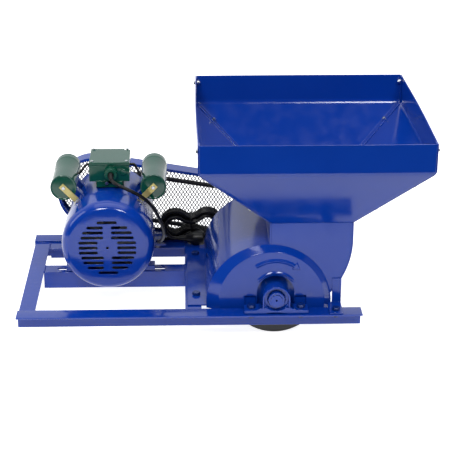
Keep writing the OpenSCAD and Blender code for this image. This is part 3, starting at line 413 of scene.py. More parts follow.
def add(tree: bpy.types.NodeTree, kind: str, inputs: dict | None = None, **settings: object) -> bpy.types.Node:
    """A new shader node.

    Args:
        tree: where the node goes.
        kind: its type, without "ShaderNode".
        inputs: a socket or a plain value for each input, by name or place.
        settings: the node's own properties.

    Returns:
        The node.
    """
    node = tree.nodes.new(f"ShaderNode{kind}")
    for key, value in settings.items():
        setattr(node, key, value)
    for key, value in (inputs or {}).items():
        wire(tree, value, node.inputs[key])
    return node


class Effects:
    """Node groups that several finishes share."""

    def __init__(self) -> None:
        """Builds each group once."""
        self.skin = self._skin()
        self.metal = self._metal()
        self.dust = self._dust()

    @staticmethod
    def _tree(name: str, ins: dict[str, tuple[str, object]], outs: dict[str, str]) -> tuple:
        """A new group with these inputs and outputs, its incoming sockets and its end node."""
        tree = bpy.data.node_groups.new(name, "ShaderNodeTree")
        for label, (kind, value) in ins.items():
            socket = tree.interface.new_socket(name=label, in_out="INPUT", socket_type=f"NodeSocket{kind}")
            if value is not None:
                socket.default_value = value
        for label, kind in outs.items():
            tree.interface.new_socket(name=label, in_out="OUTPUT", socket_type=f"NodeSocket{kind}")
        return tree, tree.nodes.new("NodeGroupInput").outputs, tree.nodes.new("NodeGroupOutput")

    @classmethod
    def _surface(cls, name: str, second: str, size: tuple[str, float], gloss: tuple[float, float]) -> tuple:
        """The group of a surface: two colours, the size of its grain, and its least and most roughness."""
        ins = {"Vector": ("Vector", None), "Color": ("Color", None), second: ("Color", None),
               size[0]: ("Float", size[1]), "Gloss Low": ("Float", gloss[0]), "Gloss High": ("Float", gloss[1])}
        return cls._tree(name, ins, {"Color": "Color", "Roughness": "Float", "Height": "Float"})

    @staticmethod
    def noise(tree: bpy.types.NodeTree, vector: object, scale: object, detail: float = 3.0) -> bpy.types.NodeSocket:
        """The value of a noise texture, with its scale a number or a socket."""
        return add(tree, "TexNoise", {"Vector": vector, "Scale": scale, "Detail": detail}).outputs["Fac"]

    @staticmethod
    def ramp(
        tree: bpy.types.NodeTree, value: object, lo: float, hi: float, to_lo: object = 0.0, to_hi: object = 1.0
    ) -> bpy.types.NodeSocket:
        """Maps a value from lo..hi to to_lo..to_hi, held at the ends, smoothly."""
        ins = {"Value": value, "From Min": lo, "From Max": hi, "To Min": to_lo, "To Max": to_hi}
        return add(tree, "MapRange", ins, interpolation_type="SMOOTHSTEP").outputs["Result"]

    @staticmethod
    def mix(tree: bpy.types.NodeTree, factor: object, a: object, b: object) -> bpy.types.NodeSocket:
        """Mixes two colours by a factor."""
        return add(tree, "Mix", {0: factor, 6: a, 7: b}, data_type="RGBA").outputs[2]

    @staticmethod
    def product(tree: bpy.types.NodeTree, a: object, b: object) -> bpy.types.NodeSocket:
        """Multiplies two values."""
        return add(tree, "Math", {0: a, 1: b}, operation="MULTIPLY").outputs[0]

    def _skin(self) -> bpy.types.NodeTree:
        """Sprayed or moulded skin: slow colour drift, patchy gloss, and a rippled height."""
        tree, ins, out = self._surface("skin", "Drift Color", ("Ripple Scale", 260.0), (0.2, 0.35))
        drift = self.ramp(tree, self.noise(tree, ins["Vector"], 7.0, 4.0), 0.35, 0.7)
        ripple = self.noise(tree, ins["Vector"], ins["Ripple Scale"], 2.0)
        smear = self.noise(tree, ins["Vector"], 34.0, 5.0)
        wire(tree, self.mix(tree, drift, ins["Color"], ins["Drift Color"]), out.inputs["Color"])
        wire(tree, self.ramp(tree, smear, 0.3, 0.72, ins["Gloss Low"], ins["Gloss High"]), out.inputs["Roughness"])
        wire(tree, ripple, out.inputs["Height"])
        return tree

    def _metal(self) -> bpy.types.NodeTree:
        """Turned or plated metal: stretched grain, stains, and a fine height."""
        tree, ins, out = self._surface("metal", "Stain Color", ("Grain Scale", 900.0), (0.2, 0.4))
        stretch = add(tree, "Mapping", {"Vector": ins["Vector"], "Scale": (1.0, 0.12, 1.0)})
        grain = self.noise(tree, stretch.outputs["Vector"], ins["Grain Scale"], 2.0)
        stain = self.ramp(tree, self.noise(tree, ins["Vector"], 60.0, 5.0), 0.45, 0.72)
        wire(tree, self.mix(tree, stain, ins["Color"], ins["Stain Color"]), out.inputs["Color"])
        wire(tree, self.ramp(tree, grain, 0.3, 0.7, ins["Gloss Low"], ins["Gloss High"]), out.inputs["Roughness"])
        wire(tree, grain, out.inputs["Height"])
        return tree

    def _dust(self) -> bpy.types.NodeTree:
        """Light dust on faces that look up: the normal's Z times a fine noise, as a mask."""
        vectors = {"Vector": ("Vector", None), "Normal": ("Vector", None)}
        tree, ins, out = self._tree("dust", vectors, {"Mask": "Float"})
        split = add(tree, "SeparateXYZ", {"Vector": ins["Normal"]})
        up = self.ramp(tree, split.outputs["Z"], 0.75, 1.0)
        patch = self.ramp(tree, self.noise(tree, ins["Vector"], 90.0, 6.0), 0.45, 0.85)
        wire(tree, self.product(tree, up, patch), out.inputs["Mask"])
        return tree


DUST_COLOR = (0.42, 0.42, 0.45, 1.0)


@dataclass(frozen=True)
class Finish:
    """One surface finish: its colours, gloss and fine relief."""

    name: str
    color: tuple[float, float, float]
    drift: tuple[float, float, float]
    gloss: tuple[float, float] = (0.2, 0.34)
    ripple: float = 260.0
    relief: float = 0.06
    metallic: float = 0.0
    coat: float = 0.0
    coat_roughness: float = 0.05
    ior: float = 1.5
    dust: float = 0.0
    grained: bool = False
    # a dark colour painted on below the rail line: painted shade under the frame, not a colour of the part
    shade_below: tuple[float, float, float] | None = None

    def material(self, effects: Effects) -> bpy.types.Material:
        """Builds the node material: a shared skin or metal group into a Principled shader."""
        mat = bpy.data.materials.new(self.name)
        mat.use_nodes = True
        tree = mat.node_tree
        shader = tree.nodes["Principled BSDF"]
        coords = add(tree, "TexCoord").outputs
        second, size = ("Stain Color", "Grain Scale") if self.grained else ("Drift Color", "Ripple Scale")
        group = add(tree, "Group", node_tree=effects.metal if self.grained else effects.skin)
        looks = {"Vector": coords["Object"], "Color": (*self.color, 1.0), second: (*self.drift, 1.0),
                 size: self.ripple, "Gloss Low": self.gloss[0], "Gloss High": self.gloss[1]}
        for label, value in looks.items():
            wire(tree, value, group.inputs[label])
        color = group.outputs["Color"]
        if self.dust:
            dust = add(tree, "Group", node_tree=effects.dust)
            wire(tree, coords["Object"], dust.inputs["Vector"])
            wire(tree, coords["Normal"], dust.inputs["Normal"])
            color = Effects.mix(tree, Effects.product(tree, dust.outputs["Mask"], self.dust), color, DUST_COLOR)
        # faces below the rail line take the dark colour: painted shade under the frame
        if self.shade_below:
            place = add(tree, "SeparateXYZ", {"Vector": coords["Object"]})
            high = Effects.ramp(tree, place.outputs["Z"], -0.010, -0.007)
            color = Effects.mix(tree, high, (*self.shade_below, 1.0), color)
        bump = add(tree, "Bump", {"Strength": self.relief, "Distance": MM, "Height": group.outputs["Height"]})
        values = {"Base Color": color, "Roughness": group.outputs["Roughness"], "Normal": bump.outputs["Normal"],
                  "Metallic": self.metallic, "IOR": self.ior, "Coat Weight": self.coat,
                  "Coat Roughness": self.coat_roughness}
        for label, value in values.items():
            wire(tree, value, shader.inputs[label])
        return mat


FINISHES: dict[Slot, Finish] = {
    Slot.BLUE: Finish(
        "blue enamel", (0.0010, 0.033, 0.285), (0.0014, 0.036, 0.300),
        (0.10, 0.17), 200.0, 0.012, dust=0.03),
    Slot.CAST: Finish(
        "blue enamel on castings", (0.0010, 0.033, 0.28), (0.0016, 0.037, 0.30),
        (0.14, 0.24), 150.0, 0.06, dust=0.03),
    Slot.DARK: Finish(
        "dark enamel", (0.0015, 0.007, 0.045), (0.002, 0.010, 0.060), (0.28, 0.40), 240.0, 0.03),
    Slot.BOLTS: Finish(
        "dark bolt enamel", (0.0015, 0.018, 0.13), (0.003, 0.022, 0.14), (0.18, 0.30), 420.0, 0.05),
    Slot.STEEL: Finish(
        "turned steel", (0.56, 0.57, 0.59), (0.40, 0.41, 0.43),
        (0.16, 0.30), 900.0, 0.03, metallic=1.0, grained=True),
    Slot.CORE: Finish(
        "core steel", (0.28, 0.28, 0.29), (0.17, 0.16, 0.15),
        (0.35, 0.55), 1400.0, 0.08, metallic=0.9, grained=True),
    Slot.COPPER: Finish(
        "winding copper", (0.62, 0.24, 0.09), (0.40, 0.14, 0.05),
        (0.25, 0.4), 800.0, 0.1, metallic=1.0, coat=0.4, grained=True),
    Slot.BELT: Finish("belt rubber", (0.008, 0.008, 0.009), (0.02, 0.02, 0.022), (0.55, 0.75), 900.0, 0.2),
    Slot.FAN: Finish("fan plastic", (0.05, 0.05, 0.05), (0.07, 0.07, 0.068), (0.35, 0.5), 500.0, 0.08),
    Slot.ZINC: Finish(
        "bright zinc", (0.60, 0.62, 0.64), (0.40, 0.41, 0.42),
        (0.18, 0.34), 700.0, 0.05, metallic=1.0, grained=True),
    Slot.YELLOW: Finish(
        "yellow zinc", (0.66, 0.55, 0.20), (0.56, 0.54, 0.26),
        (0.28, 0.42), 700.0, 0.06, metallic=0.7, grained=True),
    Slot.GREEN: Finish(
        "green enamel", (0.003, 0.066, 0.040), (0.004, 0.073, 0.046),
        (0.10, 0.17), 200.0, 0.012, ior=1.55, dust=0.03),
    Slot.GLAND: Finish(
        "gland plastic", (0.005, 0.075, 0.045), (0.008, 0.085, 0.052), (0.22, 0.34), 500.0, 0.04),
    Slot.CAN: Finish(
        "capacitor aluminium", (0.6, 0.6, 0.62), (0.5, 0.5, 0.52),
        (0.3, 0.4), 900.0, 0.04, metallic=1.0, grained=True),
    Slot.WIRE: Finish("wire sleeve", (0.008, 0.008, 0.009), (0.014, 0.014, 0.015), (0.3, 0.45), 600.0, 0.05),
    Slot.CORD: Finish(
        "cord rubber", (0.0025, 0.0025, 0.0028), (0.0045, 0.0045, 0.005),
        (0.30, 0.44), 700.0, 0.05, ior=1.36),
}


class Paintbox:
    """The materials, one a slot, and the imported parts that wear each."""

    def __init__(self) -> None:
        """Builds every material once."""
        effects = Effects()
        self.materials = {slot: finish.material(effects) for slot, finish in FINISHES.items()}
        # the end plates' material: blue enamel with painted shade on the part below the rail line
        plate = replace(FINISHES[Slot.BLUE], name="blue enamel with painted shade below the rail", shade_below=(0.004, 0.004, 0.007))
        self.end_plate_shaded = plate.material(effects)

    def __getitem__(self, slot: Slot) -> bpy.types.Material:
        """The material of a slot."""
        return self.materials[slot]

    def paint_parts(self, slots: dict[str, Slot]) -> None:
        """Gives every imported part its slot's material."""
        for name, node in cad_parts.items():
            material = self.materials[slots.get(name, Slot.BLUE)]
            node.data.materials.clear()
            node.data.materials.append(material)


PART_SLOTS: dict[str, Slot] = {
    "lower_screen": Slot.DARK, "guard_mesh": Slot.DARK, "mill_pulley": Slot.DARK, "motor_pulley": Slot.DARK,
    "front_bearing_housing": Slot.CAST, "rear_bearing_housing": Slot.CAST, "motor_housing": Slot.CAST,
    "motor_feet": Slot.CAST, "drive_end_shield": Slot.CAST, "fan_end_shield": Slot.CAST,
    "casing_bolts": Slot.BOLTS, "motor_bolts": Slot.BOLTS, "bearing_bolts": Slot.BOLTS,
    "bearing_outer_rings": Slot.STEEL, "bearing_inner_rings": Slot.STEEL, "main_shaft": Slot.STEEL,
    "rotor_hub": Slot.STEEL, "rotor_discs": Slot.STEEL, "beater_bars": Slot.STEEL, "motor_shaft": Slot.STEEL,
    "motor_bearings": Slot.STEEL, "stator_core": Slot.CORE, "rotor_core": Slot.CORE,
    "stator_windings": Slot.COPPER, "drive_belt": Slot.BELT, "cooling_fan": Slot.FAN,
    "motor_screws": Slot.ZINC, "hopper_bolts": Slot.ZINC, "terminal_box": Slot.GREEN,
    "terminal_lid": Slot.GREEN, "left_capacitor_cover": Slot.GREEN, "right_capacitor_cover": Slot.GREEN,
    "capacitor_lids": Slot.GREEN, "cable_gland": Slot.GLAND, "capacitors": Slot.CAN,
    "capacitor_straps": Slot.YELLOW, "capacitor_leads": Slot.WIRE, "power_cord": Slot.CORD,
    "cord_hank": Slot.CORD, "power_plug": Slot.CORD,
}


# ---------- camera, floor and light ----------


@dataclass
class Studio:
    """Camera, pale floor and soft lights."""

    place: tuple[float, float, float] = (-0.0073, -2.944, 1.3129)
    lens: float = 111.2
    pitch: float = 22.0316
    yaw: float = 1.756
    roll: float = 0.141
    floor_glow: float = 0.55
    floor_seen: float = 0.9

    def camera(self) -> None:
        """Aims the camera: forward from yaw and pitch, right and up turned by the roll."""
        p, y, r = (math.radians(v) for v in (self.pitch, self.yaw, self.roll))
        forward = Vector((math.sin(y) * math.cos(p), math.cos(y) * math.cos(p), -math.sin(p)))
        right = Vector((math.cos(y), -math.sin(y), 0.0))
        up = right.cross(forward)
        right, up = right * math.cos(r) + up * math.sin(r), up * math.cos(r) - right * math.sin(r)
        data = bpy.data.cameras.new("camera")
        data.lens = self.lens
        data.sensor_width = 36.0
        obj = bpy.data.objects.new("camera", data)
        bpy.context.scene.collection.objects.link(obj)
        turn = Matrix((right, up, -forward)).transposed().to_4x4()
        obj.matrix_world = Matrix.Translation(Vector(self.place)) @ turn
        bpy.context.scene.camera = obj

    def floor(self, height: float) -> None:
        """A flat pale floor that glows a little, so that it stays clean and even."""
        mesh = bpy.data.meshes.new("floor")
        corners = [(-2.2, -0.85, height), (2.2, -0.85, height), (2.2, 3.6, height), (-2.2, 3.6, height)]
        mesh.from_pydata(corners, [], [(0, 1, 2, 3)])
        obj = bpy.data.objects.new("floor", mesh)
        bpy.context.scene.collection.objects.link(obj)
        mat = bpy.data.materials.new("pale floor")
        mat.use_nodes = True
        tree = mat.node_tree
        shader = tree.nodes["Principled BSDF"]
        grain = Effects.noise(tree, add(tree, "TexCoord").outputs["Object"], 2.0, 3.0)
        seen = add(tree, "LightPath").outputs["Is Camera Ray"]
        values = {"Base Color": Effects.mix(tree, grain, (0.90, 0.90, 0.90, 1.0), (0.93, 0.93, 0.93, 1.0)),
                  "Roughness": 0.9, "Emission Color": (1.0, 1.0, 1.0, 1.0),
                  "Emission Strength": Effects.ramp(tree, seen, 0.0, 1.0, self.floor_glow, self.floor_seen)}
        for label, value in values.items():
            wire(tree, value, shader.inputs[label])
        mesh.materials.append(mat)

    def world(self) -> None:
        """White where the camera looks straight at it, and dim where it is only reflected."""
        scene = bpy.context.scene
        scene.view_settings.view_transform = "Standard"
        world = bpy.data.worlds.new("studio")
        scene.world = world
        world.use_nodes = True
        tree = world.node_tree
        tree.nodes.clear()
        split = add(tree, "SeparateXYZ", {"Vector": add(tree, "TexCoord").outputs["Generated"]})
        fade = Effects.ramp(tree, split.outputs["Y"], -0.35, 0.75, 0.06, 0.95)
        dim = add(tree, "Background", {"Color": (0.95, 0.97, 1.0, 1.0), "Strength": fade})
        white = add(tree, "Background", {"Color": (1.0, 1.0, 1.0, 1.0)})
        seen = add(tree, "LightPath").outputs["Is Camera Ray"]
        both = add(tree, "MixShader", {0: seen, 1: dim.outputs[0], 2: white.outputs[0]})
        add(tree, "OutputWorld", {"Surface": both.outputs[0]})

    @staticmethod
    def lamp(name: str, place: tuple, target: tuple, size: tuple, power: float) -> None:
        """A rectangular soft light at a place, turned to a target."""
        data = bpy.data.lights.new(name, "AREA")
        data.shape = "RECTANGLE"
        data.size, data.size_y = size
        data.energy = power
        obj = bpy.data.objects.new(name, data)
        bpy.context.scene.collection.objects.link(obj)
        obj.location = place
        obj.rotation_euler = (Vector(target) - Vector(place)).to_track_quat("-Z", "Y").to_euler()

    def lights(self) -> None:
        """Two keys high in front, a broad light overhead, and a weak one on the left."""
        self.lamp("key left", (-0.9, -2.5, 2.9), (0.0, 0.0, 0.2), (0.9, 0.9), 62.0)
        self.lamp("key right", (1.1, -2.5, 2.9), (0.1, 0.0, 0.2), (0.9, 0.9), 52.0)
        self.lamp("overhead", (0.0, 0.2, 2.6), (0.0, 0.0, 0.1), (2.6, 2.2), 26.0)
        self.lamp("left side", (-2.4, -0.2, 1.4), (-0.2, 0.0, 0.2), (1.0, 1.6), 14.0)

    def build(self) -> None:
        """Floor, world and lights; the camera is made before them."""
        self.floor(float(cad_box[0][2]) - 0.001)
        self.world()
        self.lights()


# ---------- mains lead ----------


@dataclass
class MainsLead:
    """The black lead from the terminal box, its tied hank, strain relief and plug."""

    diameter: float = 8.0
    centre: tuple[float, float] = (382.0, 37.4)
    lobe_offset: float = 39.0
    lobe_outer: float = 33.0
    lobe_inner: float = 24.0
    waist_rise: float = 43.2
    first_y: float = 432.3
    last_y: float = 463.7
    plug_y: float = 410.7
    turns: float = 8.0
    route: tuple = (
        (199, 262, 231), (200, 245, 230), (206, 230, 226), (220, 219, 221), (238, 216, 213), (256, 218, 203),
        (272, 224, 190), (287, 234, 172), (298, 248, 150), (306, 266, 126), (312, 286, 102), (316, 306, 80),
        (317, 326, 60), (315, 346, 42), (311, 364, 28), (306, 380, 18), (303, 395, 11), (304, 408, 7),
        (310, 419, 5), (319, 427, 4.4), (329, 431, 4.4),
    )

    def loop(self, s: np.ndarray, r: np.ndarray) -> np.ndarray:
        """Points of the bow-tie loop: two lobes of radius r joined by two hollow waist arcs.

        Args:
            s: share of the way round, from the left lobe's lowest point towards the right.
            r: radius of the lobes at each point.

        Returns:
            Rows of x and z.
        """
        d = math.hypot(self.lobe_offset, self.waist_rise)
        alpha = math.atan2(self.waist_rise, self.lobe_offset)
        s = np.mod(s, 1.0)
        q = d - r
        first, waist, lobe = (PI / 2 - alpha) * r, (PI - 2 * alpha) * q, (PI + 2 * alpha) * r
        total = 2 * (waist + lobe)
        left = s * total
        x, z = np.zeros_like(s), np.zeros_like(s)
        edges = [np.zeros_like(s), first, first + waist, first + waist + lobe, first + 2 * waist + lobe, total]
        kinds = (
            (-self.lobe_offset, 0.0, r, -PI / 2, 1.0),
            (0.0, -self.waist_rise, q, PI - alpha, -1.0),
            (self.lobe_offset, 0.0, r, -(PI - alpha), 1.0),
            (0.0, self.waist_rise, q, -alpha, -1.0),
            (-self.lobe_offset, 0.0, r, alpha, 1.0),
        )
        for i, (cx, cz, rad, start, sense) in enumerate(kinds):
            here = (left >= edges[i]) & (left <= edges[i + 1] + 1e-9)
            a = start + sense * (left - edges[i]) / rad
            x = np.where(here, cx + rad * np.cos(a), x)
            z = np.where(here, cz + rad * np.sin(a), z)
        return np.stack((x + self.centre[0], z + self.centre[1]), axis=1)

    def path(self) -> np.ndarray:
        """The whole centreline: the hanging lead, then the wound loops out, back inside, and to the plug.

        The loops advance along Y in even steps a turn; the radius eases from the outer to the
        inner lobe over the half turn at the far end, and Y eases forward over the last half turn.
        """
        t = np.arange(0.0, self.turns + 0.0001, 1.0 / 150)
        far, back, last = self.turns / 2 - 0.5, self.turns / 2, self.turns - 0.5
        radius = self.lobe_outer + (self.lobe_inner - self.lobe_outer) * smoothstep((t - far) / 0.5)
        pitch = (self.last_y - self.first_y) / far
        inward = np.where(t < back, self.last_y, self.last_y - pitch * (t - back))
        ending = self.first_y + (self.plug_y - self.first_y) * smoothstep((t - last) / 0.5)
        y = np.where(t > last, ending, np.where(t < far, self.first_y + pitch * t, inward))
        xz = self.loop(t, radius)
        wound = np.stack((xz[:, 0], y, xz[:, 1]), axis=1)
        lead = catmull(np.vstack((np.array(self.route, float), [wound[0]], [wound[6]])), 8)[:-8]
        tail = [(x, self.plug_y, 13.3) for x in (347.0, 352.0, 356.0)]
        return resampled(np.vstack((lead[:-1], wound, tail)), 2.2)

    def build(self, paint: Paintbox) -> None:
        path = self.path()
        pts, faces, dist = tube(path, self.diameter / 2, 10)
        piece = Piece("mains_lead", Body.MOTOR, Slot.CORD, paint, ("power_cord", "cord_hank"), 50.0)
        cord = piece.build(pts, faces, dist)
        relief = self.strain_relief(path, paint)
        tie = self.tie(paint)
        plug = softened("power_plug", Body.MOTOR, Slot.CORD, paint, 0.9)

    def strain_relief(self, path: np.ndarray, paint: Paintbox) -> bpy.types.Object:
        """A ribbed taper over the lead's first length: the radius falls to the tip, waved by the ribs."""
        length, root, taper, rib, rib_pitch = 27.0, 6.6, 2.2, 0.25, 4.2
        t = np.linspace(0.0, length, 55)
        line = np.stack([np.interp(t, distances(path), path[:, k]) for k in range(3)], axis=1)
        r = root - taper * (t / length) + rib * np.sin(t * 2 * PI / rib_pitch) * (t > 3)
        pts, faces, dist = tube(line, r, 20)
        return Piece("lead_strain_relief", Body.MOTOR, Slot.CORD, paint).build(pts, faces, dist)

    def tie(self, paint: Paintbox) -> bpy.types.Object:
        """A flat tie round the hank's waist: a rounded rectangle in Y and Z carried round as a thin band."""
        half_height, r, half_band, thickness = 23.0, 6.0, 2.2, 1.3
        half_width = (self.last_y - self.first_y) / 2 + 5.0
        middle = np.array(((self.first_y + self.last_y) / 2, self.centre[1]))
        ring = np.vstack([
            arc(middle[0] + sy * (half_width - r), middle[1] + sz * (half_height - r), r, a, a + 90, 10)
            for sy, sz, a in ((1, 1, 0), (-1, 1, 90), (-1, -1, 180), (1, -1, 270))])
        unit = (ring - middle) / np.linalg.norm(ring - middle, axis=1, keepdims=True)
        section = ((-half_band, 0.0), (half_band, 0.0), (half_band, thickness), (-half_band, thickness))
        rows = [np.column_stack((np.full(len(ring), self.centre[0] + dx), ring + unit * lift))
                for dx, lift in section]
        faces = grid_faces(len(section), len(ring), wrap=True, close=True)[:, (0, 3, 2, 1)]
        piece = Piece("lead_tie", Body.MOTOR, Slot.CORD, paint, (), 40.0, turned=True)
        return piece.build(np.vstack(rows), faces.tolist())


# ---------- frame ----------


@dataclass
class AngleFrame:
    """Rolled angle-iron frame: two long rails, two cross members and the slotted motor rails."""

    leg: float = 40.0
    cross_leg: float = 36.0
    wall: float = 4.0
    length: float = 750.0
    depth: float = 472.0

    def profile(self, leg: float) -> np.ndarray:
        """Rolled angle: flange from 0 to leg with its top at 0, web down at leg; toes and root are rounded.

        Args:
            leg: length of both legs.

        Returns:
            Points of the closed outline, anticlockwise, across then up.
        """
        t, toe, root = self.wall, 2.6, 4.0
        parts = (
            np.array([(0.3, 0.0)]),
            arc(leg - 0.9, -0.9, 0.9, 90, 0, 5),
            np.array([(leg, -leg + 0.4), (leg - 0.5, -leg)]),
            arc(leg - t + toe, -leg + toe, toe, 270, 180, 6),
            arc(leg - t - root, -t - root, root, 0, 90, 7),
            arc(toe, -t + toe, toe, 270, 180, 6),
        )
        return np.vstack(parts)[::-1]

    def angle(
        self, name: str, node: str, outline: np.ndarray, start: float, end: float, axis: str, paint: Paintbox
    ) -> None:
        """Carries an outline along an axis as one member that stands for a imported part."""
        piece = Piece(name, Body.FRAME, Slot.BLUE, paint, (node,), 25.0, turned=True)
        piece.build(*extrusion(outline, start, end, axis, 8))

    def build(self, paint: Paintbox) -> None:
        """Builds the members and the weld beads between them."""
        rail, cross = self.profile(self.leg), self.profile(self.cross_leg)
        self.angle("front_rail_rolled", "front_rail", rail, 0, self.length, "x", paint)
        self.angle("rear_rail_rolled", "rear_rail", rail * (-1, 1) + (self.depth, 0), 0, self.length, "x", paint)
        for name, x in (("left_cross_member", 2.0), ("mid_cross_member", 365.5)):
            outline = cross * (-1, 1) + (x + self.cross_leg, -self.wall)
            self.angle(f"{name}_rolled", name, outline, self.leg, self.depth - self.leg, "y", paint)
        for name in ("front_motor_rail", "rear_motor_rail"):
            softened(name, Body.FRAME, Slot.BLUE, paint, 0.8)
        self.welds(paint)

    def welds(self, paint: Paintbox) -> None:
        """Weld beads: tubes along the joints whose radius swells and shrinks in even ripples."""
        seams = (
            ((38.5, 252, -4), (38.5, 292, -4)), ((365.3, 252, -4), (365.3, 292, -4)),
            ((38.5, 394, -4), (38.5, 430, -4)), ((365.3, 394, -4), (365.3, 430, -4)),
            ((4, 40.5, -5), (36, 40.5, -5)), ((367, 40.5, -5), (400, 40.5, -5)),
            ((4, 431.5, -5), (36, 431.5, -5)), ((367, 431.5, -5), (400, 431.5, -5)),
        )
        beads = []
        for a, b in seams:
            t = np.linspace(0, 1, 70)[:, None]
            line = np.array(a, float) * (1 - t) + np.array(b, float) * t
            s = t[:, 0] * np.linalg.norm(np.subtract(b, a))
            ends = smoothstep(np.minimum(t[:, 0], 1 - t[:, 0]) / 0.06)
            radius = (1.7 + 0.35 * np.abs(np.sin(s * PI / 2.6)) + 0.2 * np.sin(s * 0.9)) * (0.35 + 0.65 * ends)
            beads.append(tube(line, radius, 8)[:2])
        Piece("frame_welds", Body.FRAME, Slot.BLUE, paint, (), 60.0).build(*joined(beads))


# ---------- hopper ----------


@dataclass
class Hopper:
    """Bolted sheet hopper: four bent panels, their bolts and the collar."""

    x: tuple[float, float] = (394.0, 887.0)
    y: tuple[float, float] = (-30.5, 490.5)
    throat_x: tuple[float, float] = (550.0, 731.0)
    throat_y: tuple[float, float] = (62.0, 380.0)
    levels: tuple[float, float, float] = (190.0, 333.0, 398.0)
    sheet: float = 2.0
    flange: float = 22.0
    bend: float = 7.0

    def rows(self) -> tuple[np.ndarray, np.ndarray]:
        """Heights and openness of a panel from throat to rim: straight slope, rounded bend, upright band.

        Returns:
            Height of each row, and how far it has opened from the throat (0) to the mouth (1).
        """
        z0, z1, z2 = self.levels
        line = np.array([(0.0, z0), (1.0, z1), (1.0, z2)])
        f = np.linspace(0.0, 1.0, 30)
        slope = line[0] * (1 - f[:, None]) + line[1] * f[:, None]
        band = np.stack((np.ones(16), np.linspace(z1, z2, 16)), axis=1)
        cut = self.bend / (z1 - z0)
        start, end = line[0] * cut + line[1] * (1 - cut), np.array((1.0, z1 + self.bend))
        u = np.linspace(0, 1, 9)[:, None]
        corner = (1 - u) ** 2 * start + 2 * u * (1 - u) * line[1] + u**2 * end
        keep_slope, keep_band = slope[slope[:, 1] < start[1] - 1], band[band[:, 1] > end[1] + 1]
        full = np.vstack((keep_slope, corner, keep_band))
        return full[:, 1], full[:, 0]

    def sides(self, w: np.ndarray) -> tuple[np.ndarray, ...]:
        """Left, right, front and rear of rows opened by w: each slides from the throat's to the mouth's."""
        pairs = (*zip(self.throat_x, self.x), *zip(self.throat_y, self.y))
        return tuple(throat + (mouth - throat) * w for throat, mouth in pairs)

    def end_panel(self, name: str, node: str, front: bool, paint: Paintbox) -> None:
        """Front or rear panel: face, rounded side bends and flanges tucked behind the side panels.

        In plan each row runs flange, quarter turn, face, quarter turn, flange; the row's corners
        slide from the throat's to the mouth's with the openness, and the face bows a little.
        """
        z, w = self.rows()
        w = w[:, None]
        left, right, near, far = self.sides(w)
        face = near if front else far
        sense = 1.0 if front else -1.0
        inset = 3.1 - 1.0 * smoothstep((w - 0.9) / 0.1)
        r, turn = 3.0, np.radians(np.linspace(0, 90, 6))
        depth = np.concatenate((np.linspace(self.flange, r + 0.5, 6), r - r * np.sin(turn)))
        side = np.concatenate((np.zeros(6), r - r * np.cos(turn)))
        u = np.linspace(0, 1, 40)[None, 1:-1]
        lx, ly = left + inset + side[None, :], face + sense * depth[None, :]
        rx, ry = (right - inset - side[None, :])[:, ::-1], (face + sense * depth[None, :])[:, ::-1]
        fx = (left + inset + r) * (1 - u) + (right - inset - r) * u
        rise = np.sin(PI * np.clip((z[:, None] - self.levels[0]) / (self.levels[2] - self.levels[0]), 0, 1) * 0.5)
        fy = face + 0 * u - sense * 1.2 * np.sin(PI * u) * rise
        x = np.concatenate((lx, fx, rx), axis=1)
        y = np.concatenate((ly, fy, ry), axis=1)
        self.sheet_piece(name, node, x, y, z, paint, flip=not front)

    def side_panel(self, name: str, node: str, right: bool, paint: Paintbox) -> None:
        """Left or right panel: a plain sheet whose rows slide from throat to mouth and bow outwards."""
        z, w = self.rows()
        w = w[:, None]
        low, high, near, far = self.sides(w)
        across, y0, y1 = high if right else low, near + 1.2, far - 1.2
        u = np.linspace(0, 1, 48)[None, :]
        sense = 1.0 if right else -1.0
        rise = smoothstep((z[:, None] - self.levels[0]) / (self.levels[2] - self.levels[0]))
        x = across + sense * 2.4 * np.sin(PI * u) ** 1.5 * rise
        y = y0 * (1 - u) + y1 * u
        self.sheet_piece(name, node, x, y, z, paint, flip=not right)

    def sheet_piece(
        self, name: str, node: str, x: np.ndarray, y: np.ndarray, z: np.ndarray, paint: Paintbox, flip: bool
    ) -> None:
        """Makes a grid a sheet: a Solidify wall inwards, then a small bevel on its cut edges."""
        pts = np.stack((x, y, np.broadcast_to(z[:, None], x.shape)), axis=-1).reshape(-1, 3)
        faces = grid_faces(*x.shape)
        faces = faces[:, ::-1] if flip else faces
        obj = Piece(name, Body.FRAME, Slot.BLUE, paint, (node,), 40.0).build(pts, faces.tolist())
        wall = obj.modifiers.new("sheet", "SOLIDIFY")
        wall.thickness = self.sheet * MM
        wall.offset = -1.0
        wall.use_even_offset = True
        edge = obj.modifiers.new("cut edges", "BEVEL")
        edge.width = 0.35 * MM
        edge.segments = 2
        edge.limit_method = "ANGLE"
        edge.angle_limit = math.radians(50)
        edge.use_clamp_overlap = False

    def build(self, paint: Paintbox) -> None:
        """Builds the panels, then the collar and the bolts."""
        for side, front in (("front", True), ("rear", False)):
            self.end_panel(f"hopper_{side}_sheet", f"hopper_{side}_panel", front, paint)
        for side, right in (("left", False), ("right", True)):
            self.side_panel(f"hopper_{side}_sheet", f"hopper_{side}_panel", right, paint)
        softened("hopper_collar", Body.FRAME, Slot.BLUE, paint, 0.4)
        softened("hopper_bolts", Body.FRAME, Slot.ZINC, paint, 0.45)


# ---------- crushing chamber ----------


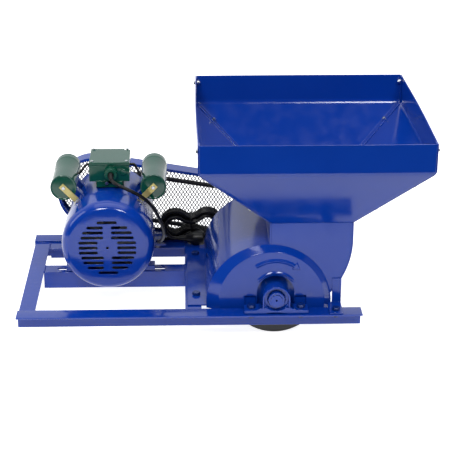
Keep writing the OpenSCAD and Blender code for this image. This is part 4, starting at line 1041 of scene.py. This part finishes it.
@dataclass
class Chamber:
    """Casing of the rotor: curved sheets, end plates, screen, feet and the pressed front cover."""

    axis: tuple[float, float] = (563.0, 33.0)
    rim_centre: tuple[float, float] = (549.0, 4.0)
    rim_r: float = 137.0
    face_centre: tuple[float, float] = (555.0, 14.0)
    face_r: float = 114.0
    face_y: float = 47.0
    depth: float = 15.0
    opening: float = 41.0
    bottom: float = -8.0
    notch: tuple[float, float, float] = (42.5, 67.5, 26.0)
    notch_depth: float = 5.0
    raised: float = 2.3
    ring: tuple[float, float] = (47.0, 4.4)
    arrow: tuple[float, float] = (75.0, 5.6)
    arrow_span: tuple[float, float] = (55.5, 126.0)
    head_from: float = 57.5
    head: tuple[float, float] = (9.5, 15.0)
    plate_y: float = 61.9

    def relief(self, x: np.ndarray, z: np.ndarray) -> np.ndarray:
        """Raised ring and arrow: a smooth ridge along each line, and a soft-edged arrowhead."""
        dx, dz = x - self.axis[0], z - self.axis[1]
        rho, phi = np.hypot(dx, dz), np.degrees(np.arctan2(dz, dx))
        fade = smoothstep((phi - 30.0) / 16.0) * smoothstep((150.0 - phi) / 16.0)
        ring = ridge((rho - self.ring[0]) / self.ring[1]) * fade
        start, end = self.arrow_span
        ends = smoothstep((phi - start) / 1.5) * smoothstep((end - phi) / 2.0)
        r, half_band = self.arrow
        band = ridge((rho - r) / half_band) * ends
        half_head, length = self.head
        along = np.radians(self.head_from - phi) * r
        half = half_head * np.clip(1.0 - along / length, 0, 1)
        head = smoothstep((half - np.abs(rho - r)) / 1.6 + 0.4) * ((along > 0.0) & (along < length))
        return np.maximum(ring, np.maximum(band, head))

    def folded(self, edge: np.ndarray) -> np.ndarray:
        """An edge's points moved back by the sheet's thickness, but no further than the end plate."""
        back = edge.copy()
        back[..., 1] = np.minimum(back[..., 1] + 2.0, self.plate_y)
        return back

    def front_cover(self, paint: Paintbox) -> None:
        """Pressed half-round cover.

        Columns run round the arch and rows from the opening's edge to the rim; a point is the
        straight blend of the two curves. Its depth is flat inside the face circle and falls along
        a soft shoulder to the rim circle, by the share of the way between the two circles.
        """
        cols, rows = 421, 190
        u = np.linspace(0, 1, cols)
        side = self.axis[1] - self.bottom
        inner_len = 2 * side + PI * self.opening
        s = u * inner_len
        a = PI - np.clip((s - side) / self.opening, 0, PI)
        ix = self.axis[0] + self.opening * np.cos(a)
        curve = self.axis[1] + self.opening * np.sin(a)
        down = np.where(s > side + PI * self.opening, self.bottom + (inner_len - s), curve)
        iz = np.where(s < side, self.bottom + s, down)
        skirt = self.rim_centre[1] - self.bottom
        outer_len = 2 * skirt + PI * self.rim_r
        q = u * outer_len
        b = PI - np.clip((q - skirt) / self.rim_r, 0, PI)
        ox = self.rim_centre[0] + self.rim_r * np.cos(b)
        oz = self.rim_centre[1] + self.rim_r * np.sin(b) - np.clip(skirt - q, 0, skirt)
        oz = oz - np.clip(q - skirt - PI * self.rim_r, 0, skirt)
        v = np.linspace(0, 1, rows)[:, None]
        x, z = ix * (1 - v) + ox * v, iz * (1 - v) + oz * v
        lo, hi = np.zeros_like(x), np.ones_like(x) * 1.001
        for _ in range(24):
            mid = (lo + hi) / 2
            cx = self.face_centre[0] + (self.rim_centre[0] - self.face_centre[0]) * mid
            cz = self.face_centre[1] + (self.rim_centre[1] - self.face_centre[1]) * mid
            outside = np.hypot(x - cx, z - cz) > self.face_r + (self.rim_r - self.face_r) * mid
            lo, hi = np.where(outside, mid, lo), np.where(outside, hi, mid)
        soft = 0.12
        fall = np.where(lo < soft, lo * lo / (2 * soft), lo - soft / 2) / (1 - soft / 2)
        y = self.face_y + (self.depth - 0.4) * fall - self.raised * self.relief(x, z)
        dx = np.abs(x - self.axis[0])
        gaps = (dx - self.notch[0], self.notch[1] - dx, self.notch[2] - z)
        y = y + self.notch_depth * np.prod([smoothstep(gap / 0.8) for gap in gaps], axis=0)
        grid = np.stack((x, y, z), axis=-1)
        grid = np.vstack((self.folded(grid[:1]), grid, self.folded(grid[-1:])))
        grid = np.concatenate((self.folded(grid[:, :1]), grid, self.folded(grid[:, -1:])), axis=1)
        piece = Piece("half_round_cover_pressed", Body.FRAME, Slot.BLUE, paint, ("half_round_cover",), 42.0)
        piece.build(grid.reshape(-1, 3), grid_faces(*grid.shape[:2]).tolist())

    def build(self, paint: Paintbox) -> None:
        """Builds the cover and softens the edges of the sheets, plates, screen and feet."""
        self.front_cover(paint)
        for node, width in (("drum_cover", 0.5), ("casing_right_wall", 0.5), ("casing_feet", 0.5)):
            softened(node, Body.FRAME, Slot.BLUE, paint, width)
        # the end plates wear blue enamel with painted shade below the rail line
        for node in ("casing_front_plate", "casing_rear_plate"):
            softened(node, Body.FRAME, Slot.BLUE, paint, 0.5, material=paint.end_plate_shaded)
        softened("lower_screen", Body.FRAME, Slot.DARK, paint, 0.3)
        softened("casing_bolts", Body.FRAME, Slot.BOLTS, paint, 0.5)


@dataclass
class Bearings:
    """Cast bearing blocks with their rings and bolts, and the rotor on its shaft."""

    cast_edge: float = 1.5

    def build(self, paint: Paintbox) -> None:
        """Softens castings broadly and machined parts finely."""
        for node in ("front_bearing_housing", "rear_bearing_housing"):
            softened(node, Body.FRAME, Slot.CAST, paint, self.cast_edge, 3)
        softened("bearing_outer_rings", Body.FRAME, Slot.CAST, paint, 0.5)
        softened("bearing_bolts", Body.FRAME, Slot.BOLTS, paint, 0.6)
        softened("bearing_inner_rings", Body.MILL_ROTOR, Slot.CAST, paint, 0.5)
        shaft = softened("main_shaft", Body.MILL_ROTOR, Slot.STEEL, paint, 0.5)
        two_tone(shaft, paint[Slot.CAST], front_of=60.0)
        for node in ("rotor_hub", "rotor_discs", "beater_bars"):
            softened(node, Body.MILL_ROTOR, Slot.STEEL, paint, 0.5)


# ---------- belt drive ----------


@dataclass
class BeltDrive:
    """V-belt, its pulleys, and the guard with its diamond mesh."""

    mill: tuple[float, float] = (563.0, 33.0)
    motor: tuple[float, float] = (193.0, 96.0)
    guard_left: tuple[float, float] = (145.7, 104.0)
    radius: float = 60.0
    belt_y: float = 506.0
    belt_w: float = 13.0
    belt_h: float = 8.0
    guard_r: float = 90.0
    mesh_y: float = 526.0
    diamond: tuple[float, float] = (8.6, 14.0)
    free_run: float = 62.0
    strand: tuple[float, float] = (0.95, 0.6)
    weave: float = 0.45

    def belt(self, paint: Paintbox) -> None:
        """V section with rounded corners carried round a loop of two half turns and two straight runs."""
        (ax, az), (bx, bz) = self.motor, self.mill
        length = math.hypot(bx - ax, bz - az)
        ux, uz = (bx - ax) / length, (bz - az) / length
        run = np.linspace(0, 1, 40)[:-1]
        turn = np.linspace(0, PI, 60)[:-1]
        one, cos, sin = np.ones(len(run)), np.cos(turn), np.sin(turn)
        parts = []
        for (px, pz), (qx, qz), sense in ((self.motor, self.mill, 1.0), (self.mill, self.motor, -1.0)):
            sx, sz = sense * ux, sense * uz
            nx, nz = -sz, sx
            parts.append(np.stack((px + sx * length * run, pz + sz * length * run, nx * one, nz * one), axis=1))
            parts.append(np.stack((qx + 0 * turn, qz + 0 * turn, nx * cos + sx * sin, nz * cos + sz * sin), axis=1))
        loop = np.vstack(parts)
        top, bottom = self.radius + 0.5, self.radius - self.belt_h + 0.5
        wide, narrow = self.belt_w / 2, self.belt_w / 2 - 1.9
        section = np.array([
            (top - 0.6, -wide), (top, -wide + 0.7), (top + 0.12, 0.0), (top, wide - 0.7), (top - 0.6, wide),
            (bottom + 0.5, narrow), (bottom, narrow - 0.6), (bottom, -narrow + 0.6), (bottom + 0.5, -narrow)])
        x = loop[:, 0:1] + loop[:, 2:3] * section[None, :, 0]
        z = loop[:, 1:2] + loop[:, 3:4] * section[None, :, 0]
        y = np.broadcast_to(self.belt_y + section[None, :, 1], x.shape)
        pts = np.stack((x, y, z), axis=-1).reshape(-1, 3)
        faces = grid_faces(len(loop), len(section), wrap=True, close=True)
        piece = Piece("drive_belt_wrapped", None, Slot.BELT, paint, ("drive_belt",), 30.0, turned=True)
        obj = piece.build(pts, faces.tolist())
        start = metres(np.array((bx - self.free_run, self.belt_y, 60.0)))
        end = metres(np.array((ax + self.free_run, self.belt_y, 60.0)))
        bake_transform(obj, "frame", "motor", start=tuple(start), end=(float(end[0]), float(start[1]), float(start[2])))

    def mesh(self, paint: Paintbox) -> None:
        """Diamond mesh: two families of slanted flat strands, each cut where it leaves the guard's outline.

        A strand is a straight line; its depth waves by the cosine of the crossings it passes, one
        family against the other. A point is inside the outline when it is nearer than the radius
        to the line between the two end centres.
        """
        a, b = np.array(self.guard_left), np.array(self.mill)
        r, reach = self.guard_r - 4.0, 330.0
        sx, sz = self.diamond
        pitch = math.hypot(sx, sz) / 2
        axis = b - a
        mid = (a[1] + b[1]) / 2
        s = np.linspace(-reach, reach, 1321)
        xs = np.arange(a[0] - r - 140, b[0] + r + 140, sx)
        half, thin = self.strand
        across, deep = np.array([(-half, -thin), (half, -thin), (half, thin), (-half, thin)]).T[:, None, :]
        count = 72
        last = count * 4 - 1
        faces = grid_faces(count, 4, wrap=True).tolist() + [[0, 1, 2, 3], [last, last - 1, last - 2, last - 3]]
        strands = []
        for sign in (1.0, -1.0):
            d = np.array((sign * sx, sz)) / math.hypot(sx, sz)
            px = xs[:, None] + d[0] * s[None, :]
            pz = mid + d[1] * s[None, :] + 0 * px
            t = np.clip(((px - a[0]) * axis[0] + (pz - a[1]) * axis[1]) / (axis @ axis), 0, 1)
            inside = np.hypot(px - a[0] - t * axis[0], pz - a[1] - t * axis[1]) < r
            for x0, row in zip(xs, inside):
                if row.sum() > 12:
                    ends = np.flatnonzero(row)[[0, -1]]
                    t = np.linspace(*s[ends], count)[:, None]
                    x = x0 + d[0] * t - d[1] * across
                    z = mid + d[1] * t + d[0] * across
                    y = self.mesh_y - 0.2 + self.weave * sign * np.cos(t * PI / pitch) + deep
                    strands.append((np.stack((x, y, z), axis=-1).reshape(-1, 3), faces))
        piece = Piece("guard_diamond_mesh", Body.FRAME, Slot.DARK, paint, ("guard_mesh",), 40.0, turned=True)
        piece.build(*joined(strands))
        self.mesh_ring(paint)

    def mesh_ring(self, paint: Paintbox) -> None:
        """Flat frame round the mesh: the outline at two radii, joined front and back."""
        a, b = np.array(self.guard_left), np.array(self.mill)
        tilt = math.degrees(math.atan2(b[1] - a[1], b[0] - a[0]))
        outer, inner = self.guard_r - 0.2, self.guard_r - 7.0
        loops = []
        for r, y in ((outer, 525.6), (inner, 525.6), (inner, 527.0), (outer, 527.0)):
            ends = arc(a[0], a[1], r, 90 + tilt, 270 + tilt, 60), arc(b[0], b[1], r, -90 + tilt, 90 + tilt, 60)
            outline = np.vstack(ends)
            loops.append(np.column_stack((outline[:, 0], np.full(len(outline), y), outline[:, 1])))
        faces = grid_faces(len(loops), len(loops[0]), wrap=True, close=True)[:, (0, 3, 2, 1)]
        piece = Piece("guard_mesh_frame", Body.FRAME, Slot.DARK, paint, (), 40.0, turned=True)
        piece.build(np.vstack(loops), faces.tolist())

    def build(self, paint: Paintbox) -> None:
        """Builds belt and mesh, and softens pulleys, rim and brackets."""
        self.belt(paint)
        self.mesh(paint)
        softened("mill_pulley", Body.MILL_ROTOR, Slot.DARK, paint, 0.5)
        softened("motor_pulley", Body.MOTOR_ROTOR, Slot.DARK, paint, 0.5)
        softened("guard_rim", Body.FRAME, Slot.BLUE, paint, 0.35)
        softened("guard_brackets", Body.FRAME, Slot.BLUE, paint, 0.5)


# ---------- motor ----------


@dataclass
class Motor:
    """Cast motor with its cowl, feet, terminal box and two capacitor covers."""

    axis: tuple[float, float] = (193.0, 96.0)
    capacitor_offset: tuple[float, float] = (102.0, 105.0)
    cover_r: float = 30.0
    front_y: float = 262.0
    length: float = 155.0

    def turned_at(self, profile: np.ndarray, sense: float) -> tuple[np.ndarray, np.ndarray]:
        """A profile turned round the left (-1) or right (1) capacitor's line."""
        (cx, cz), (dx, dz) = self.axis, self.capacitor_offset
        return lathe(profile, cx + sense * dx, cz + dz, 128)

    def cover(self, sense: float, side: str, paint: Paintbox) -> None:
        """Capacitor cover: a turned profile with a step up to the rear band and a rounded closed end."""
        r, y0, y1 = self.cover_r, self.front_y, self.front_y + self.length
        profile = np.vstack((
            [(y0 + 6, 0.01), (y0 + 6, r - 4.0), (y0 + 4.2, r - 2.4), (y0 + 4.2, r - 1.0), (y0 + 4.6, r - 0.6)],
            [(y0 + 60, r - 0.6), (y1 - 27.2, r - 0.6), (y1 - 26.2, r - 0.35), (y1 - 25.4, r), (y1 - 20, r)],
            [(y1 - 8, r)], arc(y1 - 3.5, r - 3.5, 3.5, 90, 0, 7), [(y1 - 0.3, r - 8), (y1, 0.01)],
        ))
        pts, faces = self.turned_at(profile, sense)
        name, node = f"{side}_capacitor_cover_turned", f"{side}_capacitor_cover"
        Piece(name, Body.MOTOR, Slot.GREEN, paint, (node,), 35.0, turned=True).build(pts, faces.tolist())

    def lids(self, paint: Paintbox) -> None:
        """Front lids: a turned profile with a raised rim, a shallow well and a slight dome."""
        r, y0 = self.cover_r, self.front_y
        profile = np.vstack((
            [(y0 + 0.2, 0.01), (y0 + 0.35, 8.0), (y0 + 0.9, 20.0), (y0 + 1.3, r - 4.2), (y0 + 0.5, r - 3.0)],
            arc(y0 + 1.6, r - 1.6, 1.6, 180, 90, 6), [(y0 + 4.0, r), (y0 + 4.1, 0.01)],
        ))
        piece = Piece("capacitor_lids_domed", Body.MOTOR, Slot.GREEN, paint, ("capacitor_lids",), 35.0, turned=True)
        piece.build(*joined([self.turned_at(profile, sense) for sense in (-1.0, 1.0)]))

    def leads(self, paint: Paintbox) -> None:
        """Short wires from the covers into the terminal box, as tubes along smooth curves."""
        y, box_x, half = self.front_y + 74, 195.0, 46.0
        cz = self.axis[1] + self.capacitor_offset[1]
        wires = []
        for s in (-1.0, 1.0):
            edge, side = self.axis[0] + s * (self.capacitor_offset[0] - self.cover_r + 1), box_x + s * half
            stops = ((edge, 8), (edge - s * 6, 12), ((edge + side) / 2, 24),
                     (side + s * 8, 30), (side + s * 4, 30), (side - s * 1, 30))
            wires.append(tube(catmull(np.array([(x, y, cz + up) for x, up in stops]), 8), 3.0, 14)[:2])
        piece = Piece("capacitor_leads_round", Body.MOTOR, Slot.WIRE, paint, ("capacitor_leads",), 60.0)
        piece.build(*joined(wires))

    def build(self, paint: Paintbox) -> None:
        """Builds covers, lids and wires, and softens the castings and fittings."""
        self.cover(-1.0, "left", paint)
        self.cover(1.0, "right", paint)
        self.lids(paint)
        self.leads(paint)
        parts = (
            ("motor_housing", Slot.CAST, 0.8), ("motor_feet", Slot.CAST, 1.4),
            ("drive_end_shield", Slot.CAST, 1.2), ("fan_end_shield", Slot.CAST, 1.2),
            ("fan_cowl", Slot.BLUE, 0.7), ("terminal_box", Slot.GREEN, 1.0), ("terminal_lid", Slot.GREEN, 1.2),
            ("cable_gland", Slot.GLAND, 0.6), ("capacitor_straps", Slot.YELLOW, 0.4),
            ("motor_screws", Slot.ZINC, 0.3), ("motor_bolts", Slot.BOLTS, 0.6),
        )
        for node, slot, width in parts:
            obj = softened(node, Body.MOTOR, slot, paint, width)
            if node == "capacitor_straps":
                two_tone(obj, paint[Slot.CAST], behind=self.front_y + 0.5)
        softened("motor_shaft", Body.MOTOR_ROTOR, Slot.STEEL, paint, 0.5)


def main() -> None:
    """Builds the camera and lead first, then every group of the machine, and the studio."""
    logging.basicConfig(level=logging.INFO, format="%(message)s")
    studio = Studio()
    studio.camera()
    paint = Paintbox()
    paint.paint_parts(PART_SLOTS)
    MainsLead().build(paint)
    for group in (AngleFrame(), Hopper(), Chamber(), Bearings(), BeltDrive(), Motor()):
        group.build(paint)
    studio.build()


if __name__ == "__main__":
    main()
